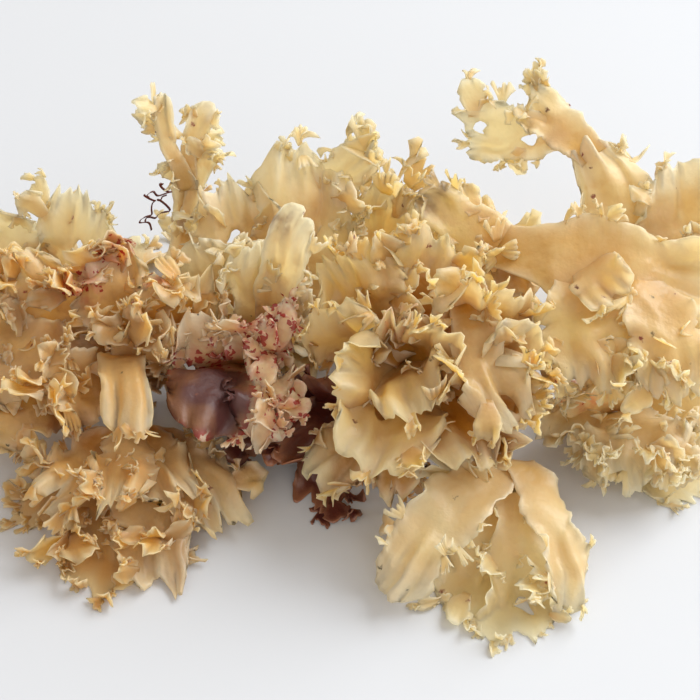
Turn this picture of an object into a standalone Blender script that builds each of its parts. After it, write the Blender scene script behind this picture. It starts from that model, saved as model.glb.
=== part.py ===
"""A tangled handful of dried, bleached Irish moss (Chondrus crispus) lying on a flat surface.

Each frond of the tangle is one solid. Its blades are thin sheets that follow a bent spine, widen
from a narrow stipe, ruffle along their margins and end in notched lobes. Small proliferations
stand on the margins, and in rosettes where the tangle is densest. Lengths in the design are in
millimetres and angles in degrees, with +X along the tangle, +Y away from the viewer and +Z up.
The origin is on the surface, under the middle of the tangle.
"""

import math
import random
from dataclasses import dataclass

import bmesh
import bpy
import numpy as np
from mathutils import Matrix, Vector
from mathutils.bvhtree import BVHTree

MM = 0.001
SHEET_THICKNESS = 0.7
FOOT_HEIGHT = 0.3
LEAST_HEIGHT = 0.85
ROW_LENGTH = 6.5
LEAFLET_LENGTH = 10.0
KNOT_RADIUS = 2.3
ROOT_DEPTH = 0.8
TO_ORIGIN = (0.4, 2.43, 0.0)
KEPT_SHARE = 0.44
CROSS_STEPS = 10
CLEAR_THICKNESS = 2.2
VIEWER = (0.0, -0.64, 0.77)

CREAM = (0.80, 0.64, 0.38)
AMBER = (0.62, 0.42, 0.20)
STRAW = (0.76, 0.61, 0.37)
MAROON = (0.20, 0.05, 0.06)
ROSY = (0.48, 0.27, 0.20)


@dataclass(frozen=True)
class Blade:
    """One blade of a frond, from its root to its tip."""

    root: tuple
    tip: tuple
    face: tuple = VIEWER  # the way its flat side looks
    widths: tuple = (4.0, 12.0, 16.0)  # at the root, the belly and the tip
    bow: float = 0.0  # how far the middle stands out towards the face
    sway: float = 0.0  # how far the middle swings to the side
    hook: float = 0.0  # how far the tip alone bends to the face
    twist: float = 0.0  # turn about the spine from root to tip
    trough: float = 0.0  # how far each half curls up, seen across
    frill: float = 45.0  # swing of the ruffled margins
    waves: float = 1.7  # ruffles along a margin
    flare: float = 2.0  # height of the waves across the tip
    notch: float = 0.16  # depth of the tip's notches, as a share of its width
    scallop: float = 0.16  # depth of the margin's scallops, as a share
    rounding: float = 0.5  # how far the tip's corners draw back
    holes: tuple = ()  # (along, across, radius) of each hole, along and across as shares
    flat_foot: bool = False  # lies flat where it meets the surface
    fringe: int = 0  # proliferations on its margins
    fringe_size: float = 6.0
    seed: int = 1

    @property
    def length(self):
        return math.dist(self.root, self.tip)

    @property
    def rows(self):
        if self.length < LEAFLET_LENGTH:
            return 1
        return 2 * max(1, round(self.length / ROW_LENGTH / 2))

    @property
    def columns(self):
        widest = max(self.widths)
        return 2 if widest < 8 else 4 if widest < 18 else 6


@dataclass(frozen=True)
class Rosette:
    """Proliferations that stand on one spot and open round an axis."""

    foot: tuple
    axis: tuple
    count: int = 5
    size: float = 6.0
    spread: float = 1.0
    seed: int = 1


@dataclass(frozen=True)
class Frond:
    """A frond of the tangle, grown as one body from its holdfast and forks."""

    name: str
    colour: tuple
    blades: tuple
    rosettes: tuple = ()
    knots: tuple = ()  # the middles of its holdfast and forks


def smooth(x):
    """Eases from 0 to 1 as x goes from 0 to 1."""
    x = np.clip(x, 0, 1)
    return x * x * (3 - 2 * x)


def unit(a):
    return a / np.linalg.norm(a, axis=-1, keepdims=True)


def spine(blade, u):
    """Points along the blade's middle at u, and the directions along, across and out of it."""
    root, tip, face = (np.array(a, float) for a in (blade.root, blade.tip, blade.face))
    chord = tip - root
    straight = unit(chord)
    lift = unit(face - straight * (face @ straight))
    aside = np.cross(lift, straight)

    def at(u):
        arch = 4 * u * (1 - u)
        rise = arch * blade.bow + np.abs(u) ** 3 * blade.hook
        return root + np.outer(u, chord) + np.outer(rise, lift) + np.outer(arch * blade.sway, aside)

    step = 1e-3
    along = unit(at(u + step) - at(u - step))
    turn = np.radians(blade.twist) * u
    out = np.outer(np.cos(turn), lift) + np.outer(np.sin(turn), aside)
    out = unit(out - along * (out * along).sum(1, keepdims=True))
    return at(u), along, np.cross(out, along), out


def scallops(x, offset):
    """Round lobes with sharp notches between them, one for each whole step of x, uneven in depth."""
    uneven = 0.65 + 0.7 * np.modf(np.abs(np.sin(np.floor(x) * 12.9898 + offset) * 43758.5453))[0]
    return (np.abs(np.sin(np.pi * x)) ** 0.7 - 0.6) * uneven


def surface(blade, u, v):
    """Points of the blade's mid-surface, for u from 0 at the root to 1 and v from -1 to 1 across."""
    draw = random.Random(blade.seed)
    phase = [draw.random() for _ in range(10)]
    middle, along, across, out = spine(blade, u)
    root_width, belly, tip_width = blade.widths
    width = root_width + (belly - root_width) * smooth(u / 0.45)
    width = width + (tip_width - belly) * smooth((u - 0.45) / 0.55)
    grown = smooth(u / 0.3)
    side = np.where(v > 0, 1, 0)
    edge_lobes = scallops(blade.rows / 2 * u, 5 * phase[4] + 3 * side)
    half = width / 2 * (1 + blade.scallop * grown * edge_lobes)
    swing = 0.8 * np.sin(2 * np.pi * (blade.waves * u + np.where(side, phase[0], phase[1])))
    swing += 0.4 * np.sin(2 * np.pi * (1.83 * blade.waves * u + np.where(side, phase[2], phase[3])))
    outward = np.zeros_like(u)
    upward = np.zeros_like(u)
    for step in range(CROSS_STEPS):
        share = np.abs(v) * (step + 0.5) / CROSS_STEPS
        tilt = np.radians(blade.trough * share + blade.frill * grown * share**1.6 * swing)
        outward += np.cos(tilt)
        upward += np.sin(tilt)
    reach = np.abs(v) * half / CROSS_STEPS
    points = middle + across * (np.sign(v) * outward * reach)[:, None] + out * (upward * reach)[:, None]
    end = smooth((u - 0.45) / 0.55)
    lobes = scallops(blade.columns / 2 * (v + 1) / 2, 9 * phase[5])
    slant = (phase[8] - 0.5) * 0.5
    forward = (-blade.rounding * v * v + slant * v) * tip_width / 2 + blade.notch * tip_width * lobes
    wave = 0.7 * np.sin(np.pi * (1.4 * v + 2 * phase[6])) + 0.45 * np.sin(np.pi * (3.1 * v + 2 * phase[7]))
    points = points + along * (forward * end)[:, None] + out * (blade.flare * wave * end)[:, None]
    if blade.flat_foot:
        points[:, 2] = np.maximum(points[:, 2], FOOT_HEIGHT)
    else:
        over = points[:, 2] - LEAST_HEIGHT
        points[:, 2] = LEAST_HEIGHT + 0.5 * (over + np.sqrt(over * over + 0.5))
    return points


def leaflet(foot, direction, face, size, draw):
    """A proliferation: a crinkled wedge that opens from a narrow foot."""
    tip = np.array(foot) + unit(np.array(direction)) * size
    return Blade(
        root=tuple(foot),
        tip=tuple(tip),
        face=tuple(face),
        widths=(0.3 * size, 0.65 * size, draw.uniform(0.7, 1.1) * size),
        bow=draw.uniform(-0.15, 0.15) * size,
        hook=draw.uniform(-0.3, 0.3) * size,
        frill=50,
        waves=0.8,
        flare=0.16 * size,
        notch=0.3,
        seed=draw.randrange(10000),
    )


def fringe_leaflets(blade):
    """Proliferations along the margins and the tip of a blade."""
    draw = random.Random(blade.seed + 500)
    made = []
    for _ in range(blade.fringe):
        u = draw.uniform(0.35, 1.0)
        v = draw.choice((-1, 1)) * draw.uniform(0.6, 0.85)
        if draw.random() < 0.35:
            u, v = 0.85, draw.uniform(-0.8, 0.8)
        foot = surface(blade, np.array([u]), np.array([v]))[0]
        _, along, across, out = (a[0] for a in spine(blade, np.array([u])))
        direction = across * v + along * draw.uniform(0.0, 1.0) + out * draw.uniform(-0.7, 0.9)
        foot = foot - unit(direction) * ROOT_DEPTH
        face = out + across * draw.uniform(-0.8, 0.8) + along * draw.uniform(-0.8, 0.8)
        made.append(leaflet(foot, direction, face, blade.fringe_size * draw.uniform(0.75, 1.3), draw))
    return made


def rosette_leaflets(rosette):
    draw = random.Random(rosette.seed)
    axis = unit(np.array(rosette.axis, float))
    made = []
    for _ in range(rosette.count):
        wander = np.array([draw.gauss(0, 1) for _ in range(3)])
        direction = axis + rosette.spread * unit(wander)
        face = np.array([draw.gauss(0, 1) for _ in range(3)])
        foot = np.array(rosette.foot) - axis * 1.5 + wander * 0.3
        made.append(leaflet(foot, direction, face, rosette.size * draw.uniform(0.75, 1.3), draw))
    return made


FRONDS = (
    Frond(
        "left_tuft",
        AMBER,
        (
            Blade((-46, -1, 9), (-80, -4, 19), (0, -0.5, 0.85), (6, 16, 19), bow=4, frill=30, fringe=2,
                  seed=3),
            Blade((-47, -3, 8), (-79, -14, 10), (-0.1, -0.4, 0.9), (5, 14, 18), bow=4, fringe=2, seed=4),
            Blade((-46, -1, 9), (-43, -25, 20), (0.1, -0.5, 0.85), (5, 9, 9), bow=9, frill=25,
                  scallop=0.06, seed=5),
            Blade((-46, 0, 9), (-68, 10, 30), (-0.3, -0.4, 0.9), (5, 14, 17), bow=2, fringe=2, seed=6),
            Blade((-45, 0, 8), (-49, 11, 33), (0, -0.9, 0.4), (5, 13, 16), bow=3, fringe=2, seed=7),
            Blade((-44, 0, 8), (-31, 5, 32), (0.2, -0.8, 0.5), (5, 13, 16), bow=2, fringe=3, seed=8),
            Blade((-47, -2, 8), (-58, -17, 23), (-0.2, -0.6, 0.8), (5, 13, 15), bow=2, fringe=2, seed=9),
            Blade((-45, -1, 8), (-39, -5, 29), (0.1, -0.9, 0.5), (5, 12, 14), bow=2, fringe=2, seed=10),
        ),
        (
            Rosette((-48, 10, 33), (0, -0.3, 1), 4, 7, seed=11),
            Rosette((-57, 6, 28), (-0.2, -0.3, 1), 4, 7, seed=12),
            Rosette((-36, 3, 31), (0.1, -0.5, 1), 4, 7, seed=13),
            Rosette((-43, -8, 27), (-0.2, -0.5, 1), 4, 7, seed=14),
            Rosette((-59, -16, 22), (-0.3, -0.7, 0.7), 4, 7, seed=15),
            Rosette((-68, 8, 29), (-0.3, -0.2, 1), 4, 7, seed=16),
        ),
        ((-46, -1, 8),),
    ),
    Frond(
        "left_back_frond",
        STRAW,
        (
            Blade((-62, 22, 3), (-82, 28, 24), (0, -0.7, 0.7), (6, 15, 18), bow=2,
                  holes=((0.62, 0.3, 2),), fringe=2,
                  seed=21),
            Blade((-61, 22, 3), (-57, 31, 28), (0, -0.8, 0.6), (6, 14, 18), bow=2,
                  holes=((0.62, -0.2, 1.8),), fringe=4,
                  seed=22),
            Blade((-62, 22, 3), (-80, 42, -6), (0, 0.1, 1), (5, 13, 18), bow=4, flat_foot=True, seed=23),
            Blade((-61, 23, 3), (-48, 44, -6), (0, 0.1, 1), (5, 13, 17), bow=4, flat_foot=True, seed=24),
        ),
        (),
        ((-62, 22, 3),),
    ),
    Frond(
        "lower_left_frond",
        CREAM,
        (
            Blade((-44, -13, 5), (-65, -32, -6), (-0.2, -0.3, 1), (4, 11, 14), bow=3, notch=0.28,
                  scallop=0.28,
                  flat_foot=True, fringe=2, seed=31),
            Blade((-44, -13, 5), (-51, -48, -6), (0, -0.3, 1), (5, 12, 15), bow=4, notch=0.28, scallop=0.28,
                  flat_foot=True, fringe=3, seed=32),
            Blade((-43, -13, 5), (-36, -48, 0), (0, -0.3, 1), (5, 11, 14), bow=5, notch=0.28, scallop=0.28,
                  fringe=3, seed=33),
            Blade((-43, -13, 5), (-24, -34, 4), (0.3, -0.3, 1), (5, 11, 14), bow=4, notch=0.28,
                  scallop=0.28,
                  fringe=3, seed=34),
            Blade((-44, -14, 6), (-59, -33, 11), (-0.2, -0.5, 0.9), (4, 11, 14), bow=2, notch=0.28,
                  scallop=0.28,
                  fringe=3, seed=35),
            Blade((-43, -14, 6), (-45, -35, 13), (0.1, -0.5, 0.9), (4, 10, 13), bow=2, notch=0.28,
                  scallop=0.28,
                  fringe=3, seed=36),
            Blade((-43, -14, 6), (-33, -33, 11), (0.1, -0.5, 0.9), (4, 10, 13), bow=2, notch=0.28,
                  scallop=0.28,
                  fringe=2, seed=39),
        ),
        (
            Rosette((-55, -38, 6), (-0.2, -0.6, 1), 4, 6, seed=37),
            Rosette((-37, -40, 7), (0.1, -0.6, 1), 4, 6, seed=38),
        ),
        ((-44, -13, 5),),
    ),
    Frond(
        "upright_frond",
        STRAW,
        (
            Blade((-38, 17, 3), (-35, 31, 35), VIEWER, (5, 6, 6), bow=-2, frill=30, fringe=2,
                  fringe_size=4.5, seed=41),
            Blade((-35, 29, 32), (-39, 40, 49), VIEWER, (3.5, 3.5, 5), bow=1, fringe=2, fringe_size=4,
                  seed=42),
            Blade((-35, 29, 32), (-28, 40, 46), VIEWER, (3.5, 3.5, 5), sway=1.5, fringe=2, fringe_size=4,
                  seed=43),
            Blade((-36, 25, 25), (-26, 34, 40), VIEWER, (3, 3.5, 4.5), sway=2, fringe=2, fringe_size=4,
                  seed=44),
            Blade((-38, 17, 3), (-34, 44, -6), (0, 0.1, 1), (4, 11, 15), bow=4, flat_foot=True, seed=45),
        ),
        (),
        ((-38, 17, 3), (-35, 29.5, 33)),
    ),
    Frond(
        "back_frond",
        CREAM,
        (
            Blade((-16, 9, 7), (-24, 24, 38), (-0.1, -0.8, 0.6), (6, 16, 20), bow=2,
                  holes=((0.7, 0.2, 1.8),),
                  fringe=2, seed=51),
            Blade((-15, 9, 7), (-8, 28, 42), (0.1, -0.8, 0.6), (6, 17, 21), bow=2, fringe=3, seed=52),
            Blade((-16, 8, 8), (-17, 6, 37), (-0.1, -0.9, 0.5), (6, 14, 17), bow=2, fringe=3, seed=53),
            Blade((-14, 7, 8), (-8, 7, 47), (-0.5, -0.7, 0.5), (6, 9, 11), bow=5, trough=50, frill=12,
                  scallop=0.06, seed=54),
            Blade((-12, 20, 28), (4, 33, 42), VIEWER, (5, 7, 9), bow=1, fringe=2, fringe_size=4, seed=55),
            Blade((-17, 9, 7), (-31, 15, 31), (-0.3, -0.8, 0.5), (5, 12, 15), bow=2, fringe=2, seed=56),
        ),
        (),
        ((-15.5, 8.5, 7.5),),
    ),
    Frond(
        "stained_frond",
        ROSY,
        (
            Blade((-24, -3, 14), (-28, -24, 18), (0.1, -0.5, 0.85), (14, 22, 20), bow=5, trough=-35,
                  frill=12,
                  notch=0.07, scallop=0.05, holes=((0.6, 0.45, 2),), seed=61),
            Blade((-23, -4, 13), (-14, -22, 18), (0.3, -0.6, 0.8), (6, 11, 14), bow=5, fringe=3, seed=62),
            Blade((-23, -3, 13), (-16, -5, 29), (0.2, -0.9, 0.4), (6, 11, 14), bow=2, fringe=2, seed=63),
            Blade((-24, -3, 13), (-28, -3, 29), (-0.1, -0.9, 0.4), (6, 10, 13), bow=2, fringe=2, seed=64),
        ),
        (
            Rosette((-15, -9, 26), (0.3, -0.5, 1), 4, 6, seed=65),
            Rosette((-14, -19, 20), (0.4, -0.7, 0.6), 4, 6, seed=66),
        ),
        ((-23.5, -3.5, 13),),
    ),
    Frond(
        "centre_frond",
        CREAM,
        (
            Blade((11, -7, 14), (-3, -22, 31), (-0.3, -0.7, 0.7), (8, 19, 23), bow=3, frill=60, fringe=2,
                  seed=71),
            Blade((12, -8, 13), (4, -35, 22), (-0.1, -0.6, 0.8), (8, 19, 20), bow=7, frill=35, scallop=0.08,
                  holes=((0.62, -0.2, 2),), fringe=1, seed=72),
            Blade((12, -5, 14), (9, -12, 40), (-0.1, -0.9, 0.4), (6, 9, 10), bow=2, frill=25, notch=0.3,
                  scallop=0.04,
                  seed=73),
            Blade((13, -6, 13), (18, -17, 41), (-0.4, -0.8, 0.5), (8, 15, 17), bow=2, frill=65, fringe=2,
                  seed=74),
            Blade((14, -7, 13), (35, -25, 27), (0.5, -0.7, 0.6), (8, 17, 22), bow=3, frill=60, fringe=3,
                  seed=75),
            Blade((14, -5, 13), (29, -9, 44), (0.2, -0.9, 0.4), (8, 16, 21), bow=2, frill=60, fringe=2,
                  seed=76),
            Blade((14, -6, 13), (36, -15, 37), (0.4, -0.8, 0.5), (7, 14, 17), bow=2, frill=60, fringe=2,
                  seed=70),
            Blade((11, -4, 13), (0, 4, 41), (-0.3, -0.8, 0.5), (7, 15, 19), bow=3, fringe=2, seed=77),
            Blade((12, -4, 13), (13, 6, 44), (0, -0.9, 0.4), (7, 15, 18), bow=2, fringe=3, seed=78),
            Blade((11, -8, 12), (-7, -30, 12), (-0.2, -0.5, 0.85), (5, 9, 11), bow=3, frill=30, seed=79),
            Blade((11, -5, 13), (-5, -7, 35), (-0.4, -0.8, 0.5), (6, 14, 17), bow=2, fringe=2, seed=69),
            Blade((14, -8, 12), (22, -34, 22), (0.2, -0.6, 0.8), (6, 14, 17), bow=4, scallop=0.08,
                  fringe=1, seed=80),
            Blade((11, -6, 20), (12, -28, 31), (-0.1, -0.6, 0.8), (6, 13, 16), bow=3, frill=50,
                  scallop=0.08, fringe=1,
                  seed=67),
            Blade((22, -4, 39), (30, -29, 28), (-0.3, -0.6, 0.75), (7, 10, 13), bow=4, twist=35, frill=60,
                  holes=((0.85, 0.3, 1.4),), fringe=1, seed=68),
        ),
        (),
        ((12.5, -6.5, 13),),
    ),
    Frond(
        "arching_frond",
        STRAW,
        (
            Blade((29, 11, 34), (74, -2, 31), (0.05, -0.6, 0.8), (9, 20, 21), bow=6, frill=25,
                  scallop=0.07, seed=81),
            Blade((31, 11, 33), (14, 17, 42), (-0.1, -0.7, 0.7), (9, 9, 9), bow=1, frill=25, fringe=2,
                  seed=82),
            Blade((44, 5, 35), (48, -17, 25), (0, -0.5, 0.85), (10, 17, 20), bow=4, fringe=3, seed=83),
            Blade((56, 1, 36), (63, -19, 24), (0.2, -0.5, 0.85), (9, 15, 19), bow=4, fringe=3, seed=84),
            Blade((45, 5, 36), (52, -6, 37), (0, -0.6, 0.8), (6, 11, 11), bow=3, frill=25, notch=0.06,
                  scallop=0.05, seed=85),
            Blade((31, 11, 34), (36, 23, -6), (0.1, 0.9, 0.3), (8, 10, 13), bow=3, frill=25,
                  flat_foot=True, seed=86),
        ),
        (
            Rosette((50, -15, 27), (0, -0.6, 0.8), 4, 6, seed=87),
            Rosette((62, -17, 26), (0.2, -0.6, 0.8), 4, 6, seed=88),
        ),
        ((31, 11, 33.5),),
    ),
    Frond(
        "right_tuft",
        AMBER,
        (
            Blade((54, -6, 3), (57, -27, 8), (0, -0.5, 0.85), (6, 17, 21), bow=5, fringe=3, seed=91),
            Blade((55, -6, 3), (72, -23, -6), (0.2, -0.4, 0.9), (6, 15, 19), bow=5, flat_foot=True,
                  fringe=3, seed=92),
            Blade((53, -6, 3), (42, -19, 10), (-0.3, -0.5, 0.8), (5, 13, 16), bow=3, fringe=3, seed=93),
            Blade((56, -5, 3), (78, -7, 13), (0.2, -0.5, 0.85), (6, 14, 18), bow=3, fringe=2, seed=94),
            Blade((54, -5, 3), (50, -12, 19), (-0.1, -0.8, 0.6), (5, 13, 16), bow=2, fringe=2, seed=97),
        ),
        (
            Rosette((58, -23, 12), (0, -0.6, 1), 4, 6, seed=95),
            Rosette((69, -21, 7), (0.3, -0.6, 0.8), 4, 6, seed=96),
        ),
        ((54.5, -5.5, 3),),
    ),
    Frond(
        "back_right_frond",
        STRAW,
        (
            Blade((69, 16, 10), (50, 39, 36), (0, -0.7, 0.7), (7, 19, 13), bow=2, frill=30, scallop=0.08,
                  seed=101),
            Blade((52, 37, 34), (37, 50, 39), (0, -0.6, 0.8), (9, 10, 11), bow=1, frill=25, fringe=2,
                  seed=102),
            Blade((47, 42, 36), (25, 46, 32), (0, -0.6, 0.8), (8, 11, 14), bow=1, frill=30,
                  holes=((0.38, 0.2, 1.6), (0.85, -0.25, 1.3)), fringe=2, seed=103),
            Blade((70, 16, 10), (68, 34, 34), (0, -0.8, 0.6), (7, 15, 17), bow=2, fringe=2, seed=104),
            Blade((70, 16, 10), (82, 24, 27), (0.2, -0.8, 0.6), (7, 15, 19), bow=2, fringe=2, seed=105),
            Blade((69, 17, 9), (58, 46, -6), (0.1, 0.2, 1), (6, 13, 17), bow=4, flat_foot=True, seed=106),
        ),
        (),
        ((69.5, 16, 10),),
    ),
    Frond(
        "front_frond",
        CREAM,
        (
            Blade((31, -24, 10), (7, -51, 4), (-0.35, -0.6, 0.75), (9, 13, 12), bow=6, trough=20, frill=35,
                  scallop=0.12, seed=111),
            Blade((32, -24, 10), (21, -54, -6), (0, -0.5, 0.85), (8, 11, 14), bow=2, flat_foot=True,
                  fringe=2,
                  seed=112),
            Blade((33, -24, 10), (32, -59, -6), (0.1, -0.5, 0.85), (8, 11, 17), bow=3, flat_foot=True,
                  holes=((0.76, 0.1, 1.8),), fringe=2, seed=113),
            Blade((33, -24, 10.5), (42, -53, 3), (0.4, -0.5, 0.8), (7, 9, 12), bow=4, frill=55, fringe=2,
                  seed=114),
        ),
        (),
        ((32.2, -24.3, 10.2),),
    ),
    Frond(
        "maroon_frond",
        MAROON,
        (
            Blade((-1, -8, 4), (-7.5, -27, -6), (0, -0.2, 1), (5, 9, 11), bow=5.6, flat_foot=True,
                  fringe=1, seed=121),
            Blade((-2, -7, 4), (-14, -21, 12), (-0.2, -0.6, 0.8), (5, 12, 15), bow=2, fringe=2, seed=122),
            Blade((-2, -7, 4), (-10, -8, 18), (-0.2, -0.9, 0.4), (5, 9, 11), bow=1, fringe=2, seed=123),
            Blade((-2.4, -7.3, 4.6), (-25, -13, 8), (0, -0.3, 1), (5, 11, 13), bow=1, fringe=1, seed=124),
        ),
        (),
        ((-1.5, -7.5, 4),),
    ),
    Frond(
        "rear_frond",
        AMBER,
        (
            Blade((4, 20, 3), (-15, 44, -6), (0, 0.2, 1), (6, 15, 19), bow=7, flat_foot=True, fringe=2,
                  seed=131),
            Blade((4, 20, 3), (14, 47, -6), (0.1, 0.2, 1), (6, 15, 19), bow=7, flat_foot=True, fringe=2,
                  seed=132),
            Blade((4, 19, 3), (10, 28, 35), (0, -0.9, 0.4), (5, 12, 16), bow=2, fringe=3, seed=133),
            Blade((5, 19, 3), (24, 26, 25), (0.2, -0.6, 0.8), (5, 13, 16), bow=2, fringe=2, seed=134),
        ),
        (),
        ((4.3, 19.5, 3),),
    ),
)


def sheet(blade):
    """The blade's mid-surface as a triangulated grid, with its holes left open."""
    mesh = bmesh.new()
    bmesh.ops.create_grid(mesh, x_segments=blade.columns, y_segments=blade.rows, size=1.0)
    for along, across, radius in blade.holes:
        scale = np.array([max(blade.widths) / 2, blade.length])

        def offset(co):
            return (np.array([co.x, (co.y + 1) / 2]) - (across, along)) * scale

        face = min(mesh.faces, key=lambda f: np.linalg.norm(offset(f.calc_center_median())))
        for vert in face.verts:
            away = offset(vert.co)
            place = (across, along) + away / np.linalg.norm(away) * radius * 1.3 / scale
            vert.co.x, vert.co.y = place[0], 2 * place[1] - 1
        bmesh.ops.delete(mesh, geom=[face], context="FACES_ONLY")
    verts = list(mesh.verts)
    u = np.array([(vert.co.y + 1) / 2 for vert in verts])
    v = np.array([vert.co.x for vert in verts])
    for vert, point in zip(verts, surface(blade, u, v)):
        vert.co = point * MM
    bmesh.ops.triangulate(mesh, faces=mesh.faces[:])
    mesh.normal_update()
    return mesh


def reach_tree(blade, thickness):
    """A search tree over both faces of the blade at a given thickness."""
    mesh = sheet(blade)
    count = len(mesh.verts)
    half = thickness / 2 * MM
    points = [vert.co + vert.normal * half for vert in mesh.verts]
    points += [vert.co - vert.normal * half for vert in mesh.verts]
    mesh.verts.index_update()
    faces = [[vert.index for vert in face.verts] for face in mesh.faces]
    faces += [[index + count for index in face] for face in faces]
    for edge in mesh.edges:
        if edge.is_boundary:
            a, b = (vert.index for vert in edge.verts)
            faces += [[a, b, b + count], [a, b + count, a + count]]
    mesh.free()
    return BVHTree.FromPolygons(points, faces)


def grow(fronds):
    """Lists each frond's blades, with the proliferations that stand clear of its neighbours."""
    grown = {frond.name: list(frond.blades) for frond in fronds}
    trees = {name: [reach_tree(b, SHEET_THICKNESS) for b in blades] for name, blades in grown.items()}
    for frond in fronds:
        offered = [leaf for blade in frond.blades for leaf in fringe_leaflets(blade)]
        offered += [leaf for rosette in frond.rosettes for leaf in rosette_leaflets(rosette)]
        others = [tree for name in grown if name != frond.name for tree in trees[name]]
        for leaf in offered:
            tree = reach_tree(leaf, CLEAR_THICKNESS)
            if not any(tree.overlap(other) for other in others):
                grown[frond.name].append(leaf)
                trees[frond.name].append(reach_tree(leaf, SHEET_THICKNESS))
    return grown


def new_collection(name):
    collection = bpy.data.collections.new(name)
    bpy.context.scene.collection.children.link(collection)
    return collection


def blade_object(name, blade, collection):
    mesh = sheet(blade)
    data = bpy.data.meshes.new(name)
    mesh.to_mesh(data)
    mesh.free()
    made = bpy.data.objects.new(name, data)
    collection.objects.link(made)
    modifier = made.modifiers.new("Thickness", "SOLIDIFY")
    modifier.thickness = SHEET_THICKNESS * MM
    modifier.offset = 0.0
    return made


def knot_object(name, middle, collection):
    mesh = bmesh.new()
    bmesh.ops.create_icosphere(mesh, subdivisions=1, radius=KNOT_RADIUS * MM)
    bmesh.ops.translate(mesh, verts=mesh.verts[:], vec=Vector(middle) * MM)
    data = bpy.data.meshes.new(name)
    mesh.to_mesh(data)
    mesh.free()
    collection.objects.link(bpy.data.objects.new(name, data))


def box_below_floor(collection):
    mesh = bmesh.new()
    bmesh.ops.create_cube(mesh, size=1.0)
    for vert in mesh.verts:
        vert.co.z -= 0.5
    data = bpy.data.meshes.new("below_floor")
    mesh.to_mesh(data)
    mesh.free()
    made = bpy.data.objects.new("below_floor", data)
    collection.objects.link(made)
    return made


def shell_volume(shell):
    """Volume that a closed shell of flat faces holds, negative where it looks inward."""
    total = 0.0
    for face in shell:
        first, *rest = (vert.co for vert in face.verts)
        total += sum(first.dot(a.cross(b)) for a, b in zip(rest, rest[1:])) / 6
    return total


def keep_largest_shell(mesh):
    """Drops the loose scraps and the sealed hollows of a mesh."""
    shells = []
    left = set(mesh.faces)
    while left:
        shell = set()
        front = [left.pop()]
        while front:
            face = front.pop()
            shell.add(face)
            for edge in face.edges:
                for near in edge.link_faces:
                    if near in left:
                        left.remove(near)
                        front.append(near)
        shells.append(shell)
    kept = max(shells, key=shell_volume)
    scraps = [face for face in mesh.faces if face not in kept]
    bmesh.ops.delete(mesh, geom=scraps, context="FACES")


def turn(a, b, c):
    """Twice the area of a flat triangle, positive where it runs counter-clockwise."""
    return (b[0] - a[0]) * (c[1] - a[1]) - (b[1] - a[1]) * (c[0] - a[0])


def clip_ears(mesh, face):
    """Cuts a face into triangles, along diagonals that no other face has taken."""
    right = face.normal.orthogonal().normalized()
    up = face.normal.cross(right)
    ring = list(face.verts)
    flat = {vert: (vert.co.dot(right) / MM, vert.co.dot(up) / MM) for vert in ring}
    mesh.faces.remove(face)
    while len(ring) > 3:
        best, cut = 0.0, None
        for index in range(len(ring)):
            ear = (ring[index - 1], ring[index], ring[(index + 1) % len(ring)])
            a, b, c = (flat[vert] for vert in ear)
            score = turn(a, b, c) / max(math.dist(a, b), math.dist(b, c), math.dist(c, a)) ** 2
            if score <= best or mesh.edges.get((ear[0], ear[2])):
                continue
            others = [flat[vert] for vert in ring if vert not in ear]
            if all(min(turn(a, b, p), turn(b, c, p), turn(c, a, p)) < 0 for p in others):
                best, cut = score, index
        if cut is None:
            break
        mesh.faces.new((ring[cut - 1], ring[cut], ring[(cut + 1) % len(ring)]))
        ring.pop(cut)
    if len(ring) == 3:
        mesh.faces.new(ring)
        return
    centre = mesh.verts.new(sum((vert.co for vert in ring), Vector()) / len(ring))
    for index, vert in enumerate(ring):
        mesh.faces.new((ring[index - 1], vert, centre))


def apply_modifiers(made):
    """Bakes an object's modifiers into one closed body of triangles."""
    graph = bpy.context.evaluated_depsgraph_get()
    data = bpy.data.meshes.new_from_object(made.evaluated_get(graph))
    made.modifiers.clear()
    mesh = bmesh.new()
    mesh.from_mesh(data)
    keep_largest_shell(mesh)
    for face in [face for face in mesh.faces if len(face.verts) > 3]:
        clip_ears(mesh, face)
    mesh.to_mesh(data)
    mesh.free()
    data.name = made.name
    made.data = data


def build_frond(frond, blades, collection, floor_box):
    """Joins a frond's blades into one solid, cut level with the surface that it lies on."""
    helpers = bpy.data.collections.new(frond.name + "_blades")
    made = blade_object(frond.name, blades[0], collection)
    for number, blade in enumerate(blades[1:]):
        blade_object(f"{frond.name}_blade_{number}", blade, helpers)
    for number, middle in enumerate(frond.knots):
        knot_object(f"{frond.name}_knot_{number}", middle, helpers)
    join = made.modifiers.new("Join blades", "BOOLEAN")
    join.operation = "UNION"
    join.solver = "MANIFOLD"
    join.operand_type = "COLLECTION"
    join.collection = helpers
    apply_modifiers(made)
    for helper in list(helpers.objects):
        bpy.data.objects.remove(helper)
    bpy.data.collections.remove(helpers)
    thin = made.modifiers.new("Drop slivers", "DECIMATE")
    thin.ratio = KEPT_SHARE
    level = made.modifiers.new("Cut level", "BOOLEAN")
    level.operation = "DIFFERENCE"
    level.solver = "MANIFOLD"
    level.object = floor_box
    apply_modifiers(made)
    material = bpy.data.materials.new(frond.name)
    material.use_nodes = True
    shader = material.node_tree.nodes["Principled BSDF"]
    shader.inputs["Base Color"].default_value = (*frond.colour, 1.0)
    shader.inputs["Roughness"].default_value = 0.45
    made.data.materials.clear()
    made.data.materials.append(material)
    return made


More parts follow.
